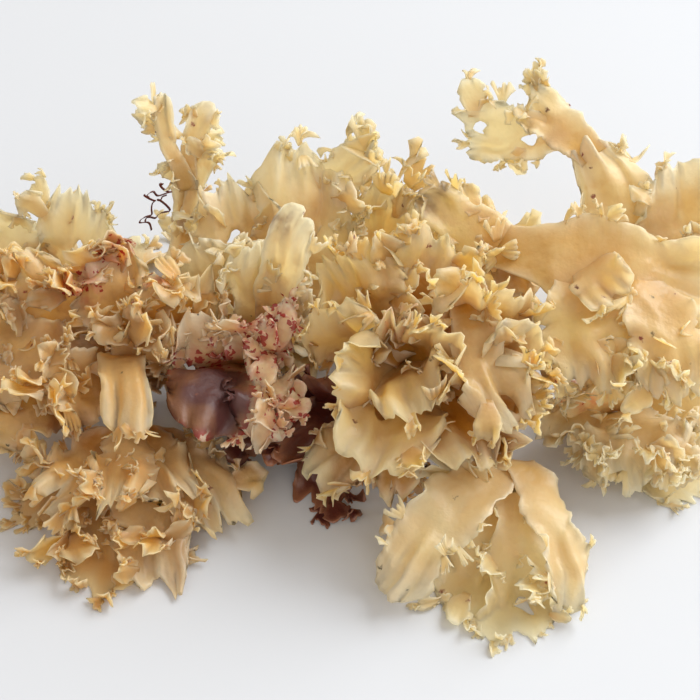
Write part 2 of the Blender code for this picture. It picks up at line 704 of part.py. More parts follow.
def main():
    for old in list(bpy.data.objects):
        bpy.data.objects.remove(old)
    collection = new_collection("irish_moss")
    cutters = new_collection("cutters")
    floor_box = box_below_floor(cutters)
    floor_box.hide_render = True
    floor_box.display_type = "WIRE"
    grown = grow(FRONDS)
    for frond in FRONDS:
        made = build_frond(frond, grown[frond.name], collection, floor_box)
        made.data.transform(Matrix.Translation(Vector(TO_ORIGIN) * MM))


main()
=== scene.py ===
"""Dresses the tangled handful of dried, bleached Irish moss.

Every frond of the CAD model is replaced by a finely ruffled one that grows from the same blades.
Lengths in the design are in millimetres and angles in degrees, with +X along the tangle, +Y away
from the viewer and +Z up. Objects are made in metres in the frame of the CAD model.
"""

import logging
import math
import random
from collections.abc import Callable, Iterable
from dataclasses import dataclass, field, replace
from enum import Enum

import bmesh
import bpy
import numpy as np
from mathutils import Matrix, Vector, noise


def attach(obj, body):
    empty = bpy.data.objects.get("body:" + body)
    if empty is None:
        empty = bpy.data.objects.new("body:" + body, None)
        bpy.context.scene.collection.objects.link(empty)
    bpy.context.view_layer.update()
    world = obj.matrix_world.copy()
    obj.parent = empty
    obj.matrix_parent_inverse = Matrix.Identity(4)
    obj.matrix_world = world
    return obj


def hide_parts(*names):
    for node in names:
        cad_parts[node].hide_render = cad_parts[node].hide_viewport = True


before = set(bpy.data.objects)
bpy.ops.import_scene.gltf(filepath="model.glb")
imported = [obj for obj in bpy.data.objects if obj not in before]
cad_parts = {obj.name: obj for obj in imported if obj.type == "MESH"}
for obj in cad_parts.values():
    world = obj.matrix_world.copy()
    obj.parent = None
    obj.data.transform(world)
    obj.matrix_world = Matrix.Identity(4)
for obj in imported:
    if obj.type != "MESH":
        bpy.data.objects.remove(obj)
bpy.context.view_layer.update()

log = logging.getLogger("irish_moss")

Point = tuple[float, float, float]
Colour = tuple[float, float, float]
Rgba = tuple[float, float, float, float]
Verts = list[bmesh.types.BMVert]
Layers = tuple[bmesh.types.BMLayerItem, ...]
Shape = Callable[[np.ndarray, np.ndarray], np.ndarray]
Socket = bpy.types.NodeSocket

# Values that the CAD model has too, so that both grow the same blades. TO_ORIGIN moves the design
# into the frame of the CAD model, VIEWER points to the camera, a blade's belly lies at BELLY of
# its length, and its margins have their full depth from GROWN on.
MM = 0.001
TO_ORIGIN = Vector((0.4, 2.43, 0.0))
VIEWER: Point = (0.0, -0.64, 0.77)
ROW_LENGTH = 6.5
LEAFLET_LENGTH = 10.0
ROOT_DEPTH = 0.8
CROSS_STEPS = 10
FOOT_HEIGHT = 0.3
LEAST_HEIGHT = 0.85
BELLY = 0.45
GROWN = 0.3
USUAL_SCALLOP = 0.16

# Thickness of a dried blade, width of a mesh cell and least height over the floor.
SKIN = 0.24
GRAIN = 0.8
FLOOR_GAP = 0.2

# Large and small sizes of the teeth along a margin and across a tip, of the crinkles on a blade
# and of the bends in space.
MARGIN_TEETH = (4.3, 2.3)
TIP_TEETH = (5.2, 2.6)
CRINKLE_SIZES = (7.0, 2.6)
WARP_SIZES = (12.0, 5.0)

# A blade with less scallop than SMOOTH_SCALLOP bears no sprigs on its face. A sprig longer than
# FORKED_SIZE forks twice, and those on leaflets are LEAF_TOOTH long.
SMOOTH_SCALLOP = 0.1
FORKED_SIZE = 3.5
LEAF_TOOTH = 1.9

# Side of one square in the map of the tangle's height, and seeds of the random choices.
CELL = 3.0
NOISE_SEED = 7
TONE_SEED = 77
FRINGE_SEED = 500
THREAD_SEED = 5


def smooth(x: np.ndarray) -> np.ndarray:
    """Eases from 0 to 1 as x goes from 0 to 1."""
    x = np.clip(x, 0, 1)
    return x * x * (3 - 2 * x)


def unit(a: np.ndarray) -> np.ndarray:
    """Scales vectors to a length of 1."""
    return a / np.linalg.norm(a, axis=-1, keepdims=True)


def scallops(x: np.ndarray, offset: float) -> np.ndarray:
    """Round lobes with sharp notches between them.

    Args:
        x: Place along the margin, one lobe for each whole step.
        offset: Shifts which lobes are deep and which are shallow.

    Returns:
        Height of the margin at x, about -0.8 to 0.5.
    """
    uneven = 0.65 + 0.7 * np.modf(np.abs(np.sin(np.floor(x) * 12.9898 + offset) * 43758.5453))[0]
    return (np.abs(np.sin(np.pi * x)) ** 0.7 - 0.6) * uneven


def spikes(x: np.ndarray, offset: float) -> np.ndarray:
    """Pointed teeth, uneven and here and there missing.

    Args:
        x: Place along the margin, one tooth for each whole step.
        offset: Shifts which teeth are long.

    Returns:
        Height of the margin at x, 0 to about 1.
    """
    uneven = 1.5 * np.modf(np.abs(np.sin(np.floor(x) * 78.233 + offset) * 43758.5453))[0] - 0.3
    return np.maximum(uneven, 0) * (1 - np.abs(2 * np.modf(np.abs(x))[0] - 1)) ** 1.3


def rough(points: np.ndarray, size: float, shift: float) -> np.ndarray:
    """Smooth random heights over points in space.

    Args:
        points: Points in millimetres.
        size: Width of one bump in millimetres.
        shift: Moves the pattern, so that two layers differ.

    Returns:
        Heights from about -1 to 1.
    """
    return np.array([noise.noise(Vector(p) / size + Vector((shift, 0, 0))) for p in points])


@dataclass(frozen=True)
class Blade:
    """One blade of a frond, from its root to its tip.

    The fields repeat those of the CAD model, so that both grow the same blade.
    """

    root: Point
    tip: Point
    face: Point = VIEWER
    widths: tuple[float, float, float] = (4.0, 12.0, 16.0)
    bow: float = 0.0
    sway: float = 0.0
    hook: float = 0.0
    twist: float = 0.0
    trough: float = 0.0
    frill: float = 45.0
    waves: float = 1.7
    flare: float = 2.0
    notch: float = 0.16
    scallop: float = USUAL_SCALLOP
    rounding: float = 0.5
    holes: tuple[Point, ...] = ()
    flat_foot: bool = False
    fringe: int = 0
    fringe_size: float = 6.0
    seed: int = 1

    @property
    def fray(self) -> float:
        """How ragged the margins are, less on the smallest and the smoothest blades."""
        return min(1.0, max(self.widths) / 12) * self.raggedness

    @property
    def raggedness(self) -> float:
        """How deep its scallops are, 1 for the usual depth and more."""
        return min(1.0, self.scallop / USUAL_SCALLOP)

    @property
    def ruffle(self) -> float:
        """How much of the fine detail it takes."""
        return 0.2 + 0.8 * self.fray

    @property
    def length(self) -> float:
        """Straight distance from the root to the tip."""
        return math.dist(self.root, self.tip)

    @property
    def rows(self) -> int:
        """Rows of the CAD model's grid, which set the scallops along a margin."""
        if self.length < LEAFLET_LENGTH:
            return 1
        return 2 * max(1, round(self.length / ROW_LENGTH / 2))

    @property
    def columns(self) -> int:
        """Columns of the CAD model's grid, which set the lobes of the tip."""
        widest = max(self.widths)
        return 2 if widest < 8 else 4 if widest < 18 else 6

    def spine(self, u: np.ndarray) -> tuple[np.ndarray, ...]:
        """Follows the blade's middle.

        Args:
            u: Places along the blade, 0 at the root and 1 at the tip.

        Returns:
            Points of the middle, and the directions along, across and out of it there.
        """
        root, tip, face = (np.array(a, float) for a in (self.root, self.tip, self.face))
        chord = tip - root
        straight = unit(chord)
        lift = unit(face - straight * (face @ straight))
        aside = np.cross(lift, straight)

        def at(u: np.ndarray) -> np.ndarray:
            """Places points of the middle."""
            arch = 4 * u * (1 - u)
            rise = arch * self.bow + np.abs(u) ** 3 * self.hook
            straight_on = root + np.outer(u, chord)
            return straight_on + np.outer(rise, lift) + np.outer(arch * self.sway, aside)

        step = 1e-3
        along = unit(at(u + step) - at(u - step))
        turn = np.radians(self.twist) * u
        out = np.outer(np.cos(turn), lift) + np.outer(np.sin(turn), aside)
        out = unit(out - along * (out * along).sum(1, keepdims=True))
        return at(u), along, np.cross(out, along), out

    def surface(self, u: np.ndarray, v: np.ndarray, detail: float = 0.0) -> np.ndarray:
        """Places points of the blade's mid-surface.

        Args:
            u: Places along the blade, 0 at the root and 1 at the tip.
            v: Places across it, -1 to 1.
            detail: 0 for the CAD model's surface, 1 for its fine teeth, curls and crinkles too.

        Returns:
            One point for each pair of u and v, in millimetres.
        """
        draw = random.Random(self.seed)
        phase = [draw.random() for _ in range(10)]
        middle, along, across, out = self.spine(u)
        root_width, belly, tip_width = self.widths
        end = smooth((u - BELLY) / (1 - BELLY))
        width = root_width + (belly - root_width) * smooth(u / BELLY)
        width = width + (tip_width - belly) * end
        grown = smooth(u / GROWN)
        side = np.where(v > 0, 1, 0)
        edge_lobes = scallops(self.rows / 2 * u, 5 * phase[4] + 3 * side)
        half = width / 2 * (1 + self.scallop * grown * edge_lobes)
        if detail:
            large, small = (self.length / spacing * u for spacing in MARGIN_TEETH)
            teeth = 0.9 * spikes(large + phase[9], 7 * phase[4] + side)
            teeth = teeth + 0.5 * spikes(small + phase[8], 11 * phase[4] + side)
            half = half + detail * self.fray * grown * teeth * np.abs(v) ** 2

        def wave_of(pace: float, right: float, left: float) -> np.ndarray:
            """Waves along both margins, each side with its own phase."""
            return np.sin(2 * np.pi * (pace * self.waves * u + np.where(side, right, left)))

        swing = 0.8 * wave_of(1.0, phase[0], phase[1])
        swing += 0.4 * wave_of(1.83, phase[2], phase[3])
        curl = wave_of(3.7, phase[3], phase[0])
        curl += 0.7 * wave_of(6.9, phase[5], phase[6])
        outward = np.zeros_like(u)
        upward = np.zeros_like(u)
        for step in range(CROSS_STEPS):
            share = np.abs(v) * (step + 0.5) / CROSS_STEPS
            tilt = self.trough * share + self.frill * grown * share**1.6 * swing
            tilt = np.radians(tilt + detail * 30 * grown * share**5 * curl)
            outward += np.cos(tilt)
            upward += np.sin(tilt)
        reach = np.abs(v) * half / CROSS_STEPS
        points = middle + across * (np.sign(v) * outward * reach)[:, None]
        points = points + out * (upward * reach)[:, None]
        lobes = scallops(self.columns / 2 * (v + 1) / 2, 9 * phase[5])
        if detail:
            large, small = (tip_width / spacing * v + 9 for spacing in TIP_TEETH)
            ends = 2.2 * spikes(large + phase[9], 4 * phase[5])
            ends = ends + 0.9 * spikes(small + phase[8], 6 * phase[5])
            lobes = lobes + detail * self.fray * ends * end / (self.notch * tip_width)
        slant = (phase[8] - 0.5) * 0.5
        forward = (-self.rounding * v * v + slant * v) * tip_width / 2
        forward = forward + self.notch * tip_width * lobes
        wave = 0.7 * np.sin(np.pi * (1.4 * v + 2 * phase[6]))
        wave = wave + 0.45 * np.sin(np.pi * (3.1 * v + 2 * phase[7]))
        wave = wave + detail * 0.35 * end**2 * np.sin(np.pi * (6.7 * v + 2 * phase[2] + 3 * u))
        points = points + along * (forward * end)[:, None]
        points = points + out * (self.flare * wave * end)[:, None]
        if detail:
            flat = np.stack([u * self.length, v * half, np.full_like(u, self.seed * 1.7)], axis=1)
            wide, fine = CRINKLE_SIZES
            crinkle = 0.6 * rough(flat, wide, 0.0) + 0.22 * rough(flat, fine, 9.0)
            points = points + out * (detail * crinkle * grown)[:, None]
        if self.flat_foot:
            points[:, 2] = np.maximum(points[:, 2], FOOT_HEIGHT)
        else:
            over = points[:, 2] - LEAST_HEIGHT
            points[:, 2] = LEAST_HEIGHT + 0.5 * (over + np.sqrt(over * over + 0.5))
        return points

    def ruffled(self, u: np.ndarray, v: np.ndarray) -> np.ndarray:
        """Places points of the surface with all the fine detail that the blade takes."""
        return self.surface(u, v, self.ruffle)

    def margin(self, u: np.ndarray, v: np.ndarray) -> tuple[np.ndarray, ...]:
        """Finds how the finely ruffled surface lies at some places.

        Args:
            u: Places along the blade.
            v: Places across it.

        Returns:
            The points there, the directions along, outward from the middle, and off the face.
        """
        step = 0.02
        here = self.ruffled(u, v)
        along = unit(here - self.ruffled(u - step, v))
        outward = here - self.ruffled(u, v * (1 - 3 * step))
        outward = unit(outward - along * (outward * along).sum(1, keepdims=True))
        return here, along, outward, np.cross(along, outward)


@dataclass(frozen=True)
class Sprig:
    """A small flat proliferation that forks into pointed tips.

    Attributes:
        foot: Where it grows from.
        direction: The way it grows.
        face: The way its flat side looks.
        size: Its length.
        forks: How many times it forks, 1 or 2.
        spread: Width across its tips, as a share of its length.
        curl: How far it bends towards its face.
        cup: How far its sides bend that way.
        seed: Sets how long each tip is.
    """

    foot: Point
    direction: Point
    face: Point
    size: float
    forks: int = 1
    spread: float = 0.8
    curl: float = 0.0
    cup: float = 0.0
    seed: int = 1

    @property
    def cells(self) -> int:
        """Cells across, so that each tip and each notch lies on a row of vertices."""
        return 6 * self.forks

    def surface(self, u: np.ndarray, v: np.ndarray) -> np.ndarray:
        """Places points of the sprig, u from 0 at the foot to 1, v from -1 to 1 across."""
        draw = random.Random(self.seed)
        along, face = unit(np.array(self.direction)), np.array(self.face)
        out = unit(face - along * (face @ along))
        across = np.cross(out, along)
        tips = np.array([draw.uniform(0.6, 1.1) for _ in range(2 * self.forks + 1)])
        notch = 1 - np.abs(np.sin(self.forks * np.pi * v)) ** 0.7
        notch = 0.2 * notch + 0.12 * (self.forks - 1) * (1 - np.abs(v)) ** 3
        reach = tips[np.floor((v + 1) * self.forks).astype(int)] - notch
        forward = self.size * u * (1 - (1 - reach) * u)
        half = self.size * (0.15 + (self.spread / 2 - 0.15) * u)
        rise = self.size * (self.curl * u * u + self.cup * (v * u) ** 2)
        turned = np.outer(forward, along) + np.outer(v * half, across)
        return np.array(self.foot) + turned + np.outer(rise, out)


def sprig(foot: np.ndarray, direction: np.ndarray, face: np.ndarray, size: float,
          draw: random.Random) -> Sprig:
    """Draws a sprig at random for one place.

    Args:
        foot: Where it grows from.
        direction: The way it grows.
        face: The way its flat side looks.
        size: Its length.
        draw: Source of the random numbers.

    Returns:
        The sprig, which forks twice when it is a long one.
    """
    return Sprig(
        foot=tuple(foot),
        direction=tuple(direction),
        face=tuple(face),
        size=size,
        forks=2 if size > FORKED_SIZE else 1,
        spread=draw.uniform(0.7, 1.25),
        curl=draw.gauss(0, 0.35),
        cup=draw.gauss(0, 0.4),
        seed=draw.randrange(10000),
    )


def leaflet(foot: np.ndarray, direction: np.ndarray, face: np.ndarray, size: float,
            draw: random.Random) -> Blade:
    """Shapes a proliferation: a crinkled wedge that opens from a narrow foot.

    Args:
        foot: Where it grows from.
        direction: The way it grows.
        face: The way its flat side looks.
        size: Its length.
        draw: Source of the random numbers.

    Returns:
        The proliferation, as a small blade.
    """
    tip = np.array(foot) + unit(np.array(direction)) * size
    return Blade(
        root=tuple(foot),
        tip=tuple(tip),
        face=tuple(face),
        widths=(0.3 * size, 0.65 * size, draw.uniform(0.7, 1.1) * size),
        bow=draw.uniform(-0.15, 0.15) * size,
        hook=draw.uniform(-0.3, 0.3) * size,
        frill=50,
        waves=0.8,
        flare=0.16 * size,
        notch=0.3,
        seed=draw.randrange(10000),
    )


@dataclass(frozen=True)
class Rosette:
    """Proliferations that stand on one spot and open round an axis."""

    foot: Point
    axis: Point
    count: int = 5
    size: float = 6.0
    spread: float = 1.0
    seed: int = 1

    def leaflets(self) -> list[Blade]:
        """Lists the rosette's proliferations."""
        draw = random.Random(self.seed)
        axis = unit(np.array(self.axis, float))
        made = []
        for _ in range(self.count):
            wander = np.array([draw.gauss(0, 1) for _ in range(3)])
            direction = axis + self.spread * unit(wander)
            face = np.array([draw.gauss(0, 1) for _ in range(3)])
            foot = np.array(self.foot) - axis * 1.5 + wander * 0.3
            made.append(leaflet(foot, direction, face, self.size * draw.uniform(0.75, 1.3), draw))
        return made

    def sprigs(self) -> list[Sprig]:
        """Lists the rosette's finer, forked proliferations."""
        draw = random.Random(self.seed)
        axis = unit(np.array(self.axis, float))
        made = []
        for _ in range(self.count):
            wander = np.array([draw.gauss(0, 1) for _ in range(3)])
            face = np.array([draw.gauss(0, 1) for _ in range(3)])
            foot = np.array(self.foot) - axis + wander * 0.22 * self.size
            direction = axis + self.spread * unit(wander)
            made.append(sprig(foot, direction, face, self.size * draw.uniform(0.6, 1.3), draw))
        return made


class Finish(Enum):
    """The finishes that fronds take."""

    CREAM = "moss_cream"
    STRAW = "moss_straw"
    HONEY = "moss_honey"
    AMBER = "moss_amber"
    STAINED = "moss_stained"
    MAROON = "moss_maroon"


@dataclass(frozen=True)
class MossFinish:
    """Colours of one kind of dried frond.

    Attributes:
        pale: Colour of a single dry layer.
        deep: Colour near the root and in the thicker patches, and the painted shade under other
            fronds.
        through: Colour of the light that comes through a blade.
        edge: Colour of the margins.
        thinness: Share of the light that goes through.
        blotch: How far the deep colour spreads in patches.
        specks: How many dark and red specks lie on it.
    """

    pale: Colour
    deep: Colour
    through: Colour
    edge: Colour
    thinness: float = 0.75
    blotch: float = 0.35
    specks: float = 0.3


FINISHES: dict[Finish, MossFinish] = {
    Finish.CREAM: MossFinish(
        pale=(0.95, 0.87, 0.62), deep=(0.80, 0.54, 0.18),
        through=(0.99, 0.89, 0.61), edge=(0.98, 0.96, 0.84),
    ),
    Finish.STRAW: MossFinish(
        pale=(0.94, 0.84, 0.53), deep=(0.74, 0.45, 0.10),
        through=(0.98, 0.84, 0.47), edge=(0.98, 0.94, 0.78),
    ),
    Finish.HONEY: MossFinish(
        pale=(0.94, 0.82, 0.45), deep=(0.58, 0.27, 0.035),
        through=(0.98, 0.79, 0.33), edge=(0.98, 0.94, 0.76),
    ),
    Finish.AMBER: MossFinish(
        pale=(0.92, 0.77, 0.40), deep=(0.48, 0.19, 0.02),
        through=(0.96, 0.70, 0.23), edge=(0.98, 0.93, 0.74), specks=0.5,
    ),
    Finish.STAINED: MossFinish(
        pale=(0.92, 0.78, 0.48), deep=(0.52, 0.22, 0.04),
        through=(0.95, 0.68, 0.32), edge=(0.98, 0.92, 0.76), thinness=0.6, specks=0.6,
    ),
    Finish.MAROON: MossFinish(
        pale=(0.24, 0.06, 0.035), deep=(0.09, 0.014, 0.012),
        through=(0.42, 0.09, 0.045), edge=(0.50, 0.22, 0.11), thinness=0.35,
    ),
}


@dataclass(frozen=True)
class Stain:
    """A round patch of colour: red pigment that the bleaching left, or a dark olive patch, which is
    dirt on most fronds and painted crevice shade on the back frond.

    Attributes:
        middle: Its middle.
        radius: Where it fades.
        strength: Up to 0.6 it is a scatter of red spots, and from there on it soaks the blade.
        dirt_and_shade: Whether it is a dark olive patch instead of red pigment: dirt, and on the
            back frond painted crevice shade.
    """

    middle: Point
    radius: float
    strength: float = 1.0
    dirt_and_shade: bool = False


@dataclass(frozen=True)
class Look:
    """What the picture adds to a frond of the CAD model.

    Attributes:
        finish: The finish that it takes.
        teeth: Sprigs for each 10 mm of margin.
        tooth_size: Their length.
        bristle: Sprigs that stand on each blade's face.
        tufts: Rosettes of sprigs.
        fills: Rosettes of larger proliferations, which close gaps round the holdfasts.
        stains: Patches of pigment and dirt, and of painted crevice shade.
        shade: How strongly the painted shade under other fronds deepens the colour.
    """

    finish: Finish
    teeth: float = 3.0
    tooth_size: float = 3.0
    bristle: int = 0
    tufts: tuple[Rosette, ...] = ()
    fills: tuple[Rosette, ...] = ()
    stains: tuple[Stain, ...] = ()
    shade: float = 1.0


class Canopy:
    """Height of the tangle's top over each spot of the floor, which sets the painted shade under
    other fronds.
    """

    def __init__(self, fronds: tuple["Frond", ...]) -> None:
        """Measures the tangle.

        Args:
            fronds: All of its fronds.
        """
        self.tops: dict[tuple[int, int], float] = {}
        steps = np.linspace(0, 1, 40)
        u, v = (a.ravel() for a in np.meshgrid(steps, 2 * steps - 1))
        for frond in fronds:
            for blade in frond.blades:
                for x, y, z in blade.surface(u, v):
                    cell = (round(x / CELL), round(y / CELL))
                    self.tops[cell] = max(z, self.tops.get(cell, 0.0))

    def depth(self, points: np.ndarray) -> np.ndarray:
        """Tells how deep points lie in the tangle, which sets the painted shade under other fronds.

        Args:
            points: Points in millimetres.

        Returns:
            0 on top, up to 1 well below it.
        """
        found = []
        around = [(i, j) for i in (-1, 0, 1) for j in (-1, 0, 1)]
        for x, y, z in points:
            column, row = round(x / CELL), round(y / CELL)
            near = [self.tops.get((column + i, row + j), 0.0) for i, j in around]
            found.append(sum(near) / len(around) - z)
        return smooth((np.array(found) + 2.0) / 15.0)


@dataclass(frozen=True)
class Frond:
    """A frond of the tangle, grown from its holdfast and forks.

    Attributes:
        name: The CAD node that it stands for.
        blades: Its blades, as in the CAD model.
        rosettes: Its rosettes, as in the CAD model.
        look: What the picture adds.
    """

    name: str
    blades: tuple[Blade, ...]
    rosettes: tuple[Rosette, ...]
    look: Look

    def leaflets(self) -> list[Blade]:
        """Lists the larger proliferations, most of which the CAD model has too."""
        made = [leaf for blade in self.blades for leaf in fringe_leaflets(blade)]
        for rosette in self.rosettes + self.look.fills:
            made += rosette.leaflets()
        return made

    def sprigs(self) -> list[Sprig]:
        """Lists the finer proliferations that only the picture has."""
        draw = random.Random(self.name)
        made = []
        for blade in self.blades:
            made += margin_sprigs(blade, self.look, draw)
            made += face_sprigs(blade, self.look, draw)
        for leaf in self.leaflets():
            made += margin_sprigs(leaf, replace(self.look, tooth_size=LEAF_TOOTH), draw)
        return made + [leaf for tuft in self.look.tufts for leaf in tuft.sprigs()]

    def stain_at(self, points: np.ndarray, dirt_and_shade: bool) -> np.ndarray:
        """Strength of the stains at points.

        Args:
            points: Points in millimetres.
            dirt_and_shade: Whether to look for the dark olive patches of dirt and painted crevice
                shade, not for red pigment.

        Returns:
            One strength for each point, 0 to 1.
        """
        total = np.zeros(len(points))
        for stain in self.look.stains:
            if stain.dirt_and_shade is dirt_and_shade:
                away = np.linalg.norm(points - np.array(stain.middle), axis=1) / stain.radius
                total = np.maximum(total, stain.strength * (1 - smooth((away - 0.5) / 0.7)))
        return total

    def build(self, canopy: Canopy) -> bpy.types.Object:
        """Grows the frond's mesh and gives it its thickness.

        Args:
            canopy: Tells how deep each point of it lies in the tangle, for the painted shade.

        Returns:
            The piece, with its finish on it.
        """
        mesh = bmesh.new()
        layers = tuple(mesh.verts.layers.float_color.new(name) for name in ("marks", "soil_and_shade"))
        for blade in self.blades:
            across = max(6, round(max(blade.widths) / GRAIN))
            verts = new_grid(mesh, across, max(8, round(blade.length / GRAIN)))
            verts = open_holes(mesh, verts, blade)
            self.place(layers, verts, canopy, blade, blade.ruffled)
        for leaf in self.leaflets():
            verts = new_grid(mesh, 8, 8)
            self.place(layers, verts, canopy, leaf, leaf.ruffled)
        for leaf in self.sprigs():
            verts = new_grid(mesh, leaf.cells, 3 * leaf.forks)
            self.place(layers, verts, canopy, leaf, leaf.surface)
        for face in mesh.faces:
            face.smooth = True
        piece = new_object(self.name + "_blades", mesh)
        piece.data.transform(Matrix.Translation(TO_ORIGIN * MM))
        thicken(piece, SKIN)
        piece.data.materials.append(MATERIALS[self.look.finish])
        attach(piece, "root")
        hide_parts(self.name)
        log.info("%s: %d faces before thickness", piece.name, len(piece.data.polygons))
        return piece

    def place(self, layers: Layers, verts: Verts, canopy: Canopy, leaf: Blade | Sprig,
              shape: Shape) -> None:
        """Bends a flat grid into a blade and marks its vertices.

        Args:
            layers: Colour layers for the marks (margin, tone, pigment, and depth, which is painted
                shade under other fronds plus the deeper tone near the root) and for dirt and
                painted crevice shade.
            verts: The grid's vertices, from -1 to 1 across (x) and along (y).
            canopy: Tells how deep each point lies in the tangle, for the painted shade.
            leaf: The blade or sprig.
            shape: Gives the points for places along and across.
        """
        u = np.array([(vert.co.y + 1) / 2 for vert in verts])
        v = np.array([vert.co.x for vert in verts])
        points = shape(u, v)
        base = 0.0 if isinstance(leaf, Sprig) else 0.5 * (1 - smooth(u / 0.7))
        rim = np.maximum(np.abs(v) ** 4, smooth((u - 0.72) / 0.28))
        tone = random.Random(leaf.seed + TONE_SEED).random()
        pigment = self.stain_at(points, False)
        dirt_and_shade = self.stain_at(points, True)
        # Painted shade: the colour deepens where other fronds lie above, added to the deeper tone
        # near the root.
        depth = np.clip(self.look.shade * canopy.depth(points) + base, 0, 1)
        points = warp(points)
        marks = zip(verts, points, rim, pigment, dirt_and_shade, depth)
        for vert, point, edge, red, soil_and_shade, deep in marks:
            vert.co = point * MM
            vert[layers[0]] = (edge, tone, red, deep)
            vert[layers[1]] = (soil_and_shade, soil_and_shade, soil_and_shade, 1.0)


def warp(points: np.ndarray) -> np.ndarray:
    """Bends space itself a little, so that no blade keeps a regular shape.

    Args:
        points: Points in millimetres.

    Returns:
        The moved points, none of them under the floor.
    """
    wide, narrow = WARP_SIZES
    moved = []
    for point in points:
        place = Vector(point)
        shift = noise.noise_vector(place / wide) * 2.0
        shift += noise.noise_vector(place / narrow + Vector((7, 0, 0))) * 0.7
        shift.z *= min(1.0, point[2] / 8.0)
        moved.append(place + shift)
    moved = np.array(moved)
    moved[:, 2] = np.maximum(moved[:, 2], FLOOR_GAP)
    return moved


def new_grid(mesh: bmesh.types.BMesh, across: int, along: int) -> Verts:
    """Adds a flat grid from -1 to 1 and returns its vertices."""
    return bmesh.ops.create_grid(mesh, x_segments=across, y_segments=along, size=1.0)["verts"]


def new_object(name: str, mesh: bmesh.types.BMesh) -> bpy.types.Object:
    """Makes a finished mesh an object of the scene, and frees the mesh."""
    data = bpy.data.meshes.new(name)
    mesh.to_mesh(data)
    mesh.free()
    made = bpy.data.objects.new(name, data)
    bpy.context.scene.collection.objects.link(made)
    return made


def thicken(piece: bpy.types.Object, thickness: float) -> None:
    """Gives a sheet its thickness in millimetres, half of it to each side."""
    skin = piece.modifiers.new("Skin", "SOLIDIFY")
    skin.thickness = thickness * MM
    skin.offset = 0.0


def fringe_leaflets(blade: Blade) -> list[Blade]:
    """Lists the large proliferations along the margins and the tip of a blade."""
    draw = random.Random(blade.seed + FRINGE_SEED)
    made = []
    for _ in range(blade.fringe):
        u = draw.uniform(0.35, 1.0)
        v = draw.choice((-1, 1)) * draw.uniform(0.6, 0.85)
        if draw.random() < 0.35:
            u, v = 0.85, draw.uniform(-0.8, 0.8)
        foot = blade.surface(np.array([u]), np.array([v]))[0]
        _, along, across, out = (a[0] for a in blade.spine(np.array([u])))
        direction = across * v + along * draw.uniform(0.0, 1.0) + out * draw.uniform(-0.7, 0.9)
        foot = foot - unit(direction) * ROOT_DEPTH
        face = out + across * draw.uniform(-0.8, 0.8) + along * draw.uniform(-0.8, 0.8)
        size = blade.fringe_size * draw.uniform(0.75, 1.3)
        made.append(leaflet(foot, direction, face, size, draw))
    return made


def margin_sprigs(blade: Blade, look: Look, draw: random.Random) -> list[Sprig]:
    """Lists sprigs that carry on the margins and the tip of a blade, few on a smooth one.

    Args:
        blade: The blade that they grow on.
        look: How many there are, and how long.
        draw: Source of the random numbers.

    Returns:
        The sprigs.
    """
    edge = 1.4 * blade.length + blade.widths[2]
    tip_share = 1.6 * blade.widths[2] / edge
    places = []
    for _ in range(round(edge / 10 * blade.raggedness)):
        at_tip = draw.random() < tip_share
        middle = draw.uniform(-1, 1) if at_tip else draw.uniform(0.35, 1.0)
        side = draw.choice((-1.0, 1.0))
        for _ in range(round(look.teeth)):
            spot = middle + draw.gauss(0, 0.12)
            if at_tip:
                places.append((0.98, max(-1.0, min(1.0, spot))))
            else:
                places.append((max(0.25, min(0.98, spot)), side))
    u, v = np.array(places).reshape(-1, 2).T
    made = []
    for foot, along, outward, out, reach in zip(*blade.margin(u, v), u):
        ahead = draw.uniform(0.1, 0.7) if reach < 0.97 else draw.uniform(1.2, 4.0)
        direction = unit(outward + along * ahead) + out * draw.gauss(0, 0.28)
        face = out + outward * draw.gauss(0, 0.35) + along * draw.gauss(0, 0.35)
        size = look.tooth_size * draw.uniform(0.5, 1.5)
        made.append(sprig(foot - unit(direction) * size * 0.15, direction, face, size, draw))
    return made


def face_sprigs(blade: Blade, look: Look, draw: random.Random) -> list[Sprig]:
    """Lists sprigs that stand on a blade's face, none on a smooth one.

    Args:
        blade: The blade that they grow on.
        look: How many there are, and how long.
        draw: Source of the random numbers.

    Returns:
        The sprigs.
    """
    if not look.bristle or blade.scallop < SMOOTH_SCALLOP:
        return []
    u = np.array([draw.uniform(0.4, 1.0) for _ in range(look.bristle)])
    v = np.array([draw.uniform(-0.95, 0.95) for _ in range(look.bristle)])
    made = []
    for foot, along, outward, out in zip(*blade.margin(u, v)):
        out = out if out @ np.array(VIEWER) > 0 else -out
        direction = out * 0.7 + along * draw.gauss(0.5, 0.6) + outward * draw.gauss(0, 0.8)
        face = along * draw.gauss(0, 1) + outward * draw.gauss(0, 1) + out * 0.5
        size = look.tooth_size * draw.uniform(0.8, 1.8)
        made.append(sprig(foot - unit(direction) * 0.3, direction, face, size, draw))
    return made


def open_holes(mesh: bmesh.types.BMesh, verts: Verts, blade: Blade) -> Verts:
    """Opens a blade's holes in its flat grid.

    Args:
        mesh: The mesh that the grid is in.
        verts: The grid's vertices, from -1 to 1 across (x) and along (y).
        blade: The blade, with its holes.

    Returns:
        The vertices that are left.
    """
    scale = np.array([max(blade.widths) / 2, blade.length])
    for along, across, radius in blade.holes:
        faces = {face for vert in verts for face in vert.link_faces}

        def offset(co: Vector) -> np.ndarray:
            """How far a spot of the grid is from the hole's middle, in millimetres."""
            return (np.array([co.x, (co.y + 1) / 2]) - (across, along)) * scale

        inside = [face for face in faces
                  if np.linalg.norm(offset(face.calc_center_median())) < radius]
        rim = {vert for face in inside for vert in face.verts}
        bmesh.ops.delete(mesh, geom=inside, context="FACES")
        verts = [vert for vert in verts if vert.is_valid]
        for vert in verts:
            if vert not in rim:
                continue
            away = offset(vert.co)
            angle = math.atan2(away[1], away[0])
            reach = radius * (1 + 0.18 * math.sin(3 * angle + blade.seed))
            place = (across, along) + away / np.linalg.norm(away) * reach / scale
            vert.co.x, vert.co.y = place[0], 2 * place[1] - 1
    return verts


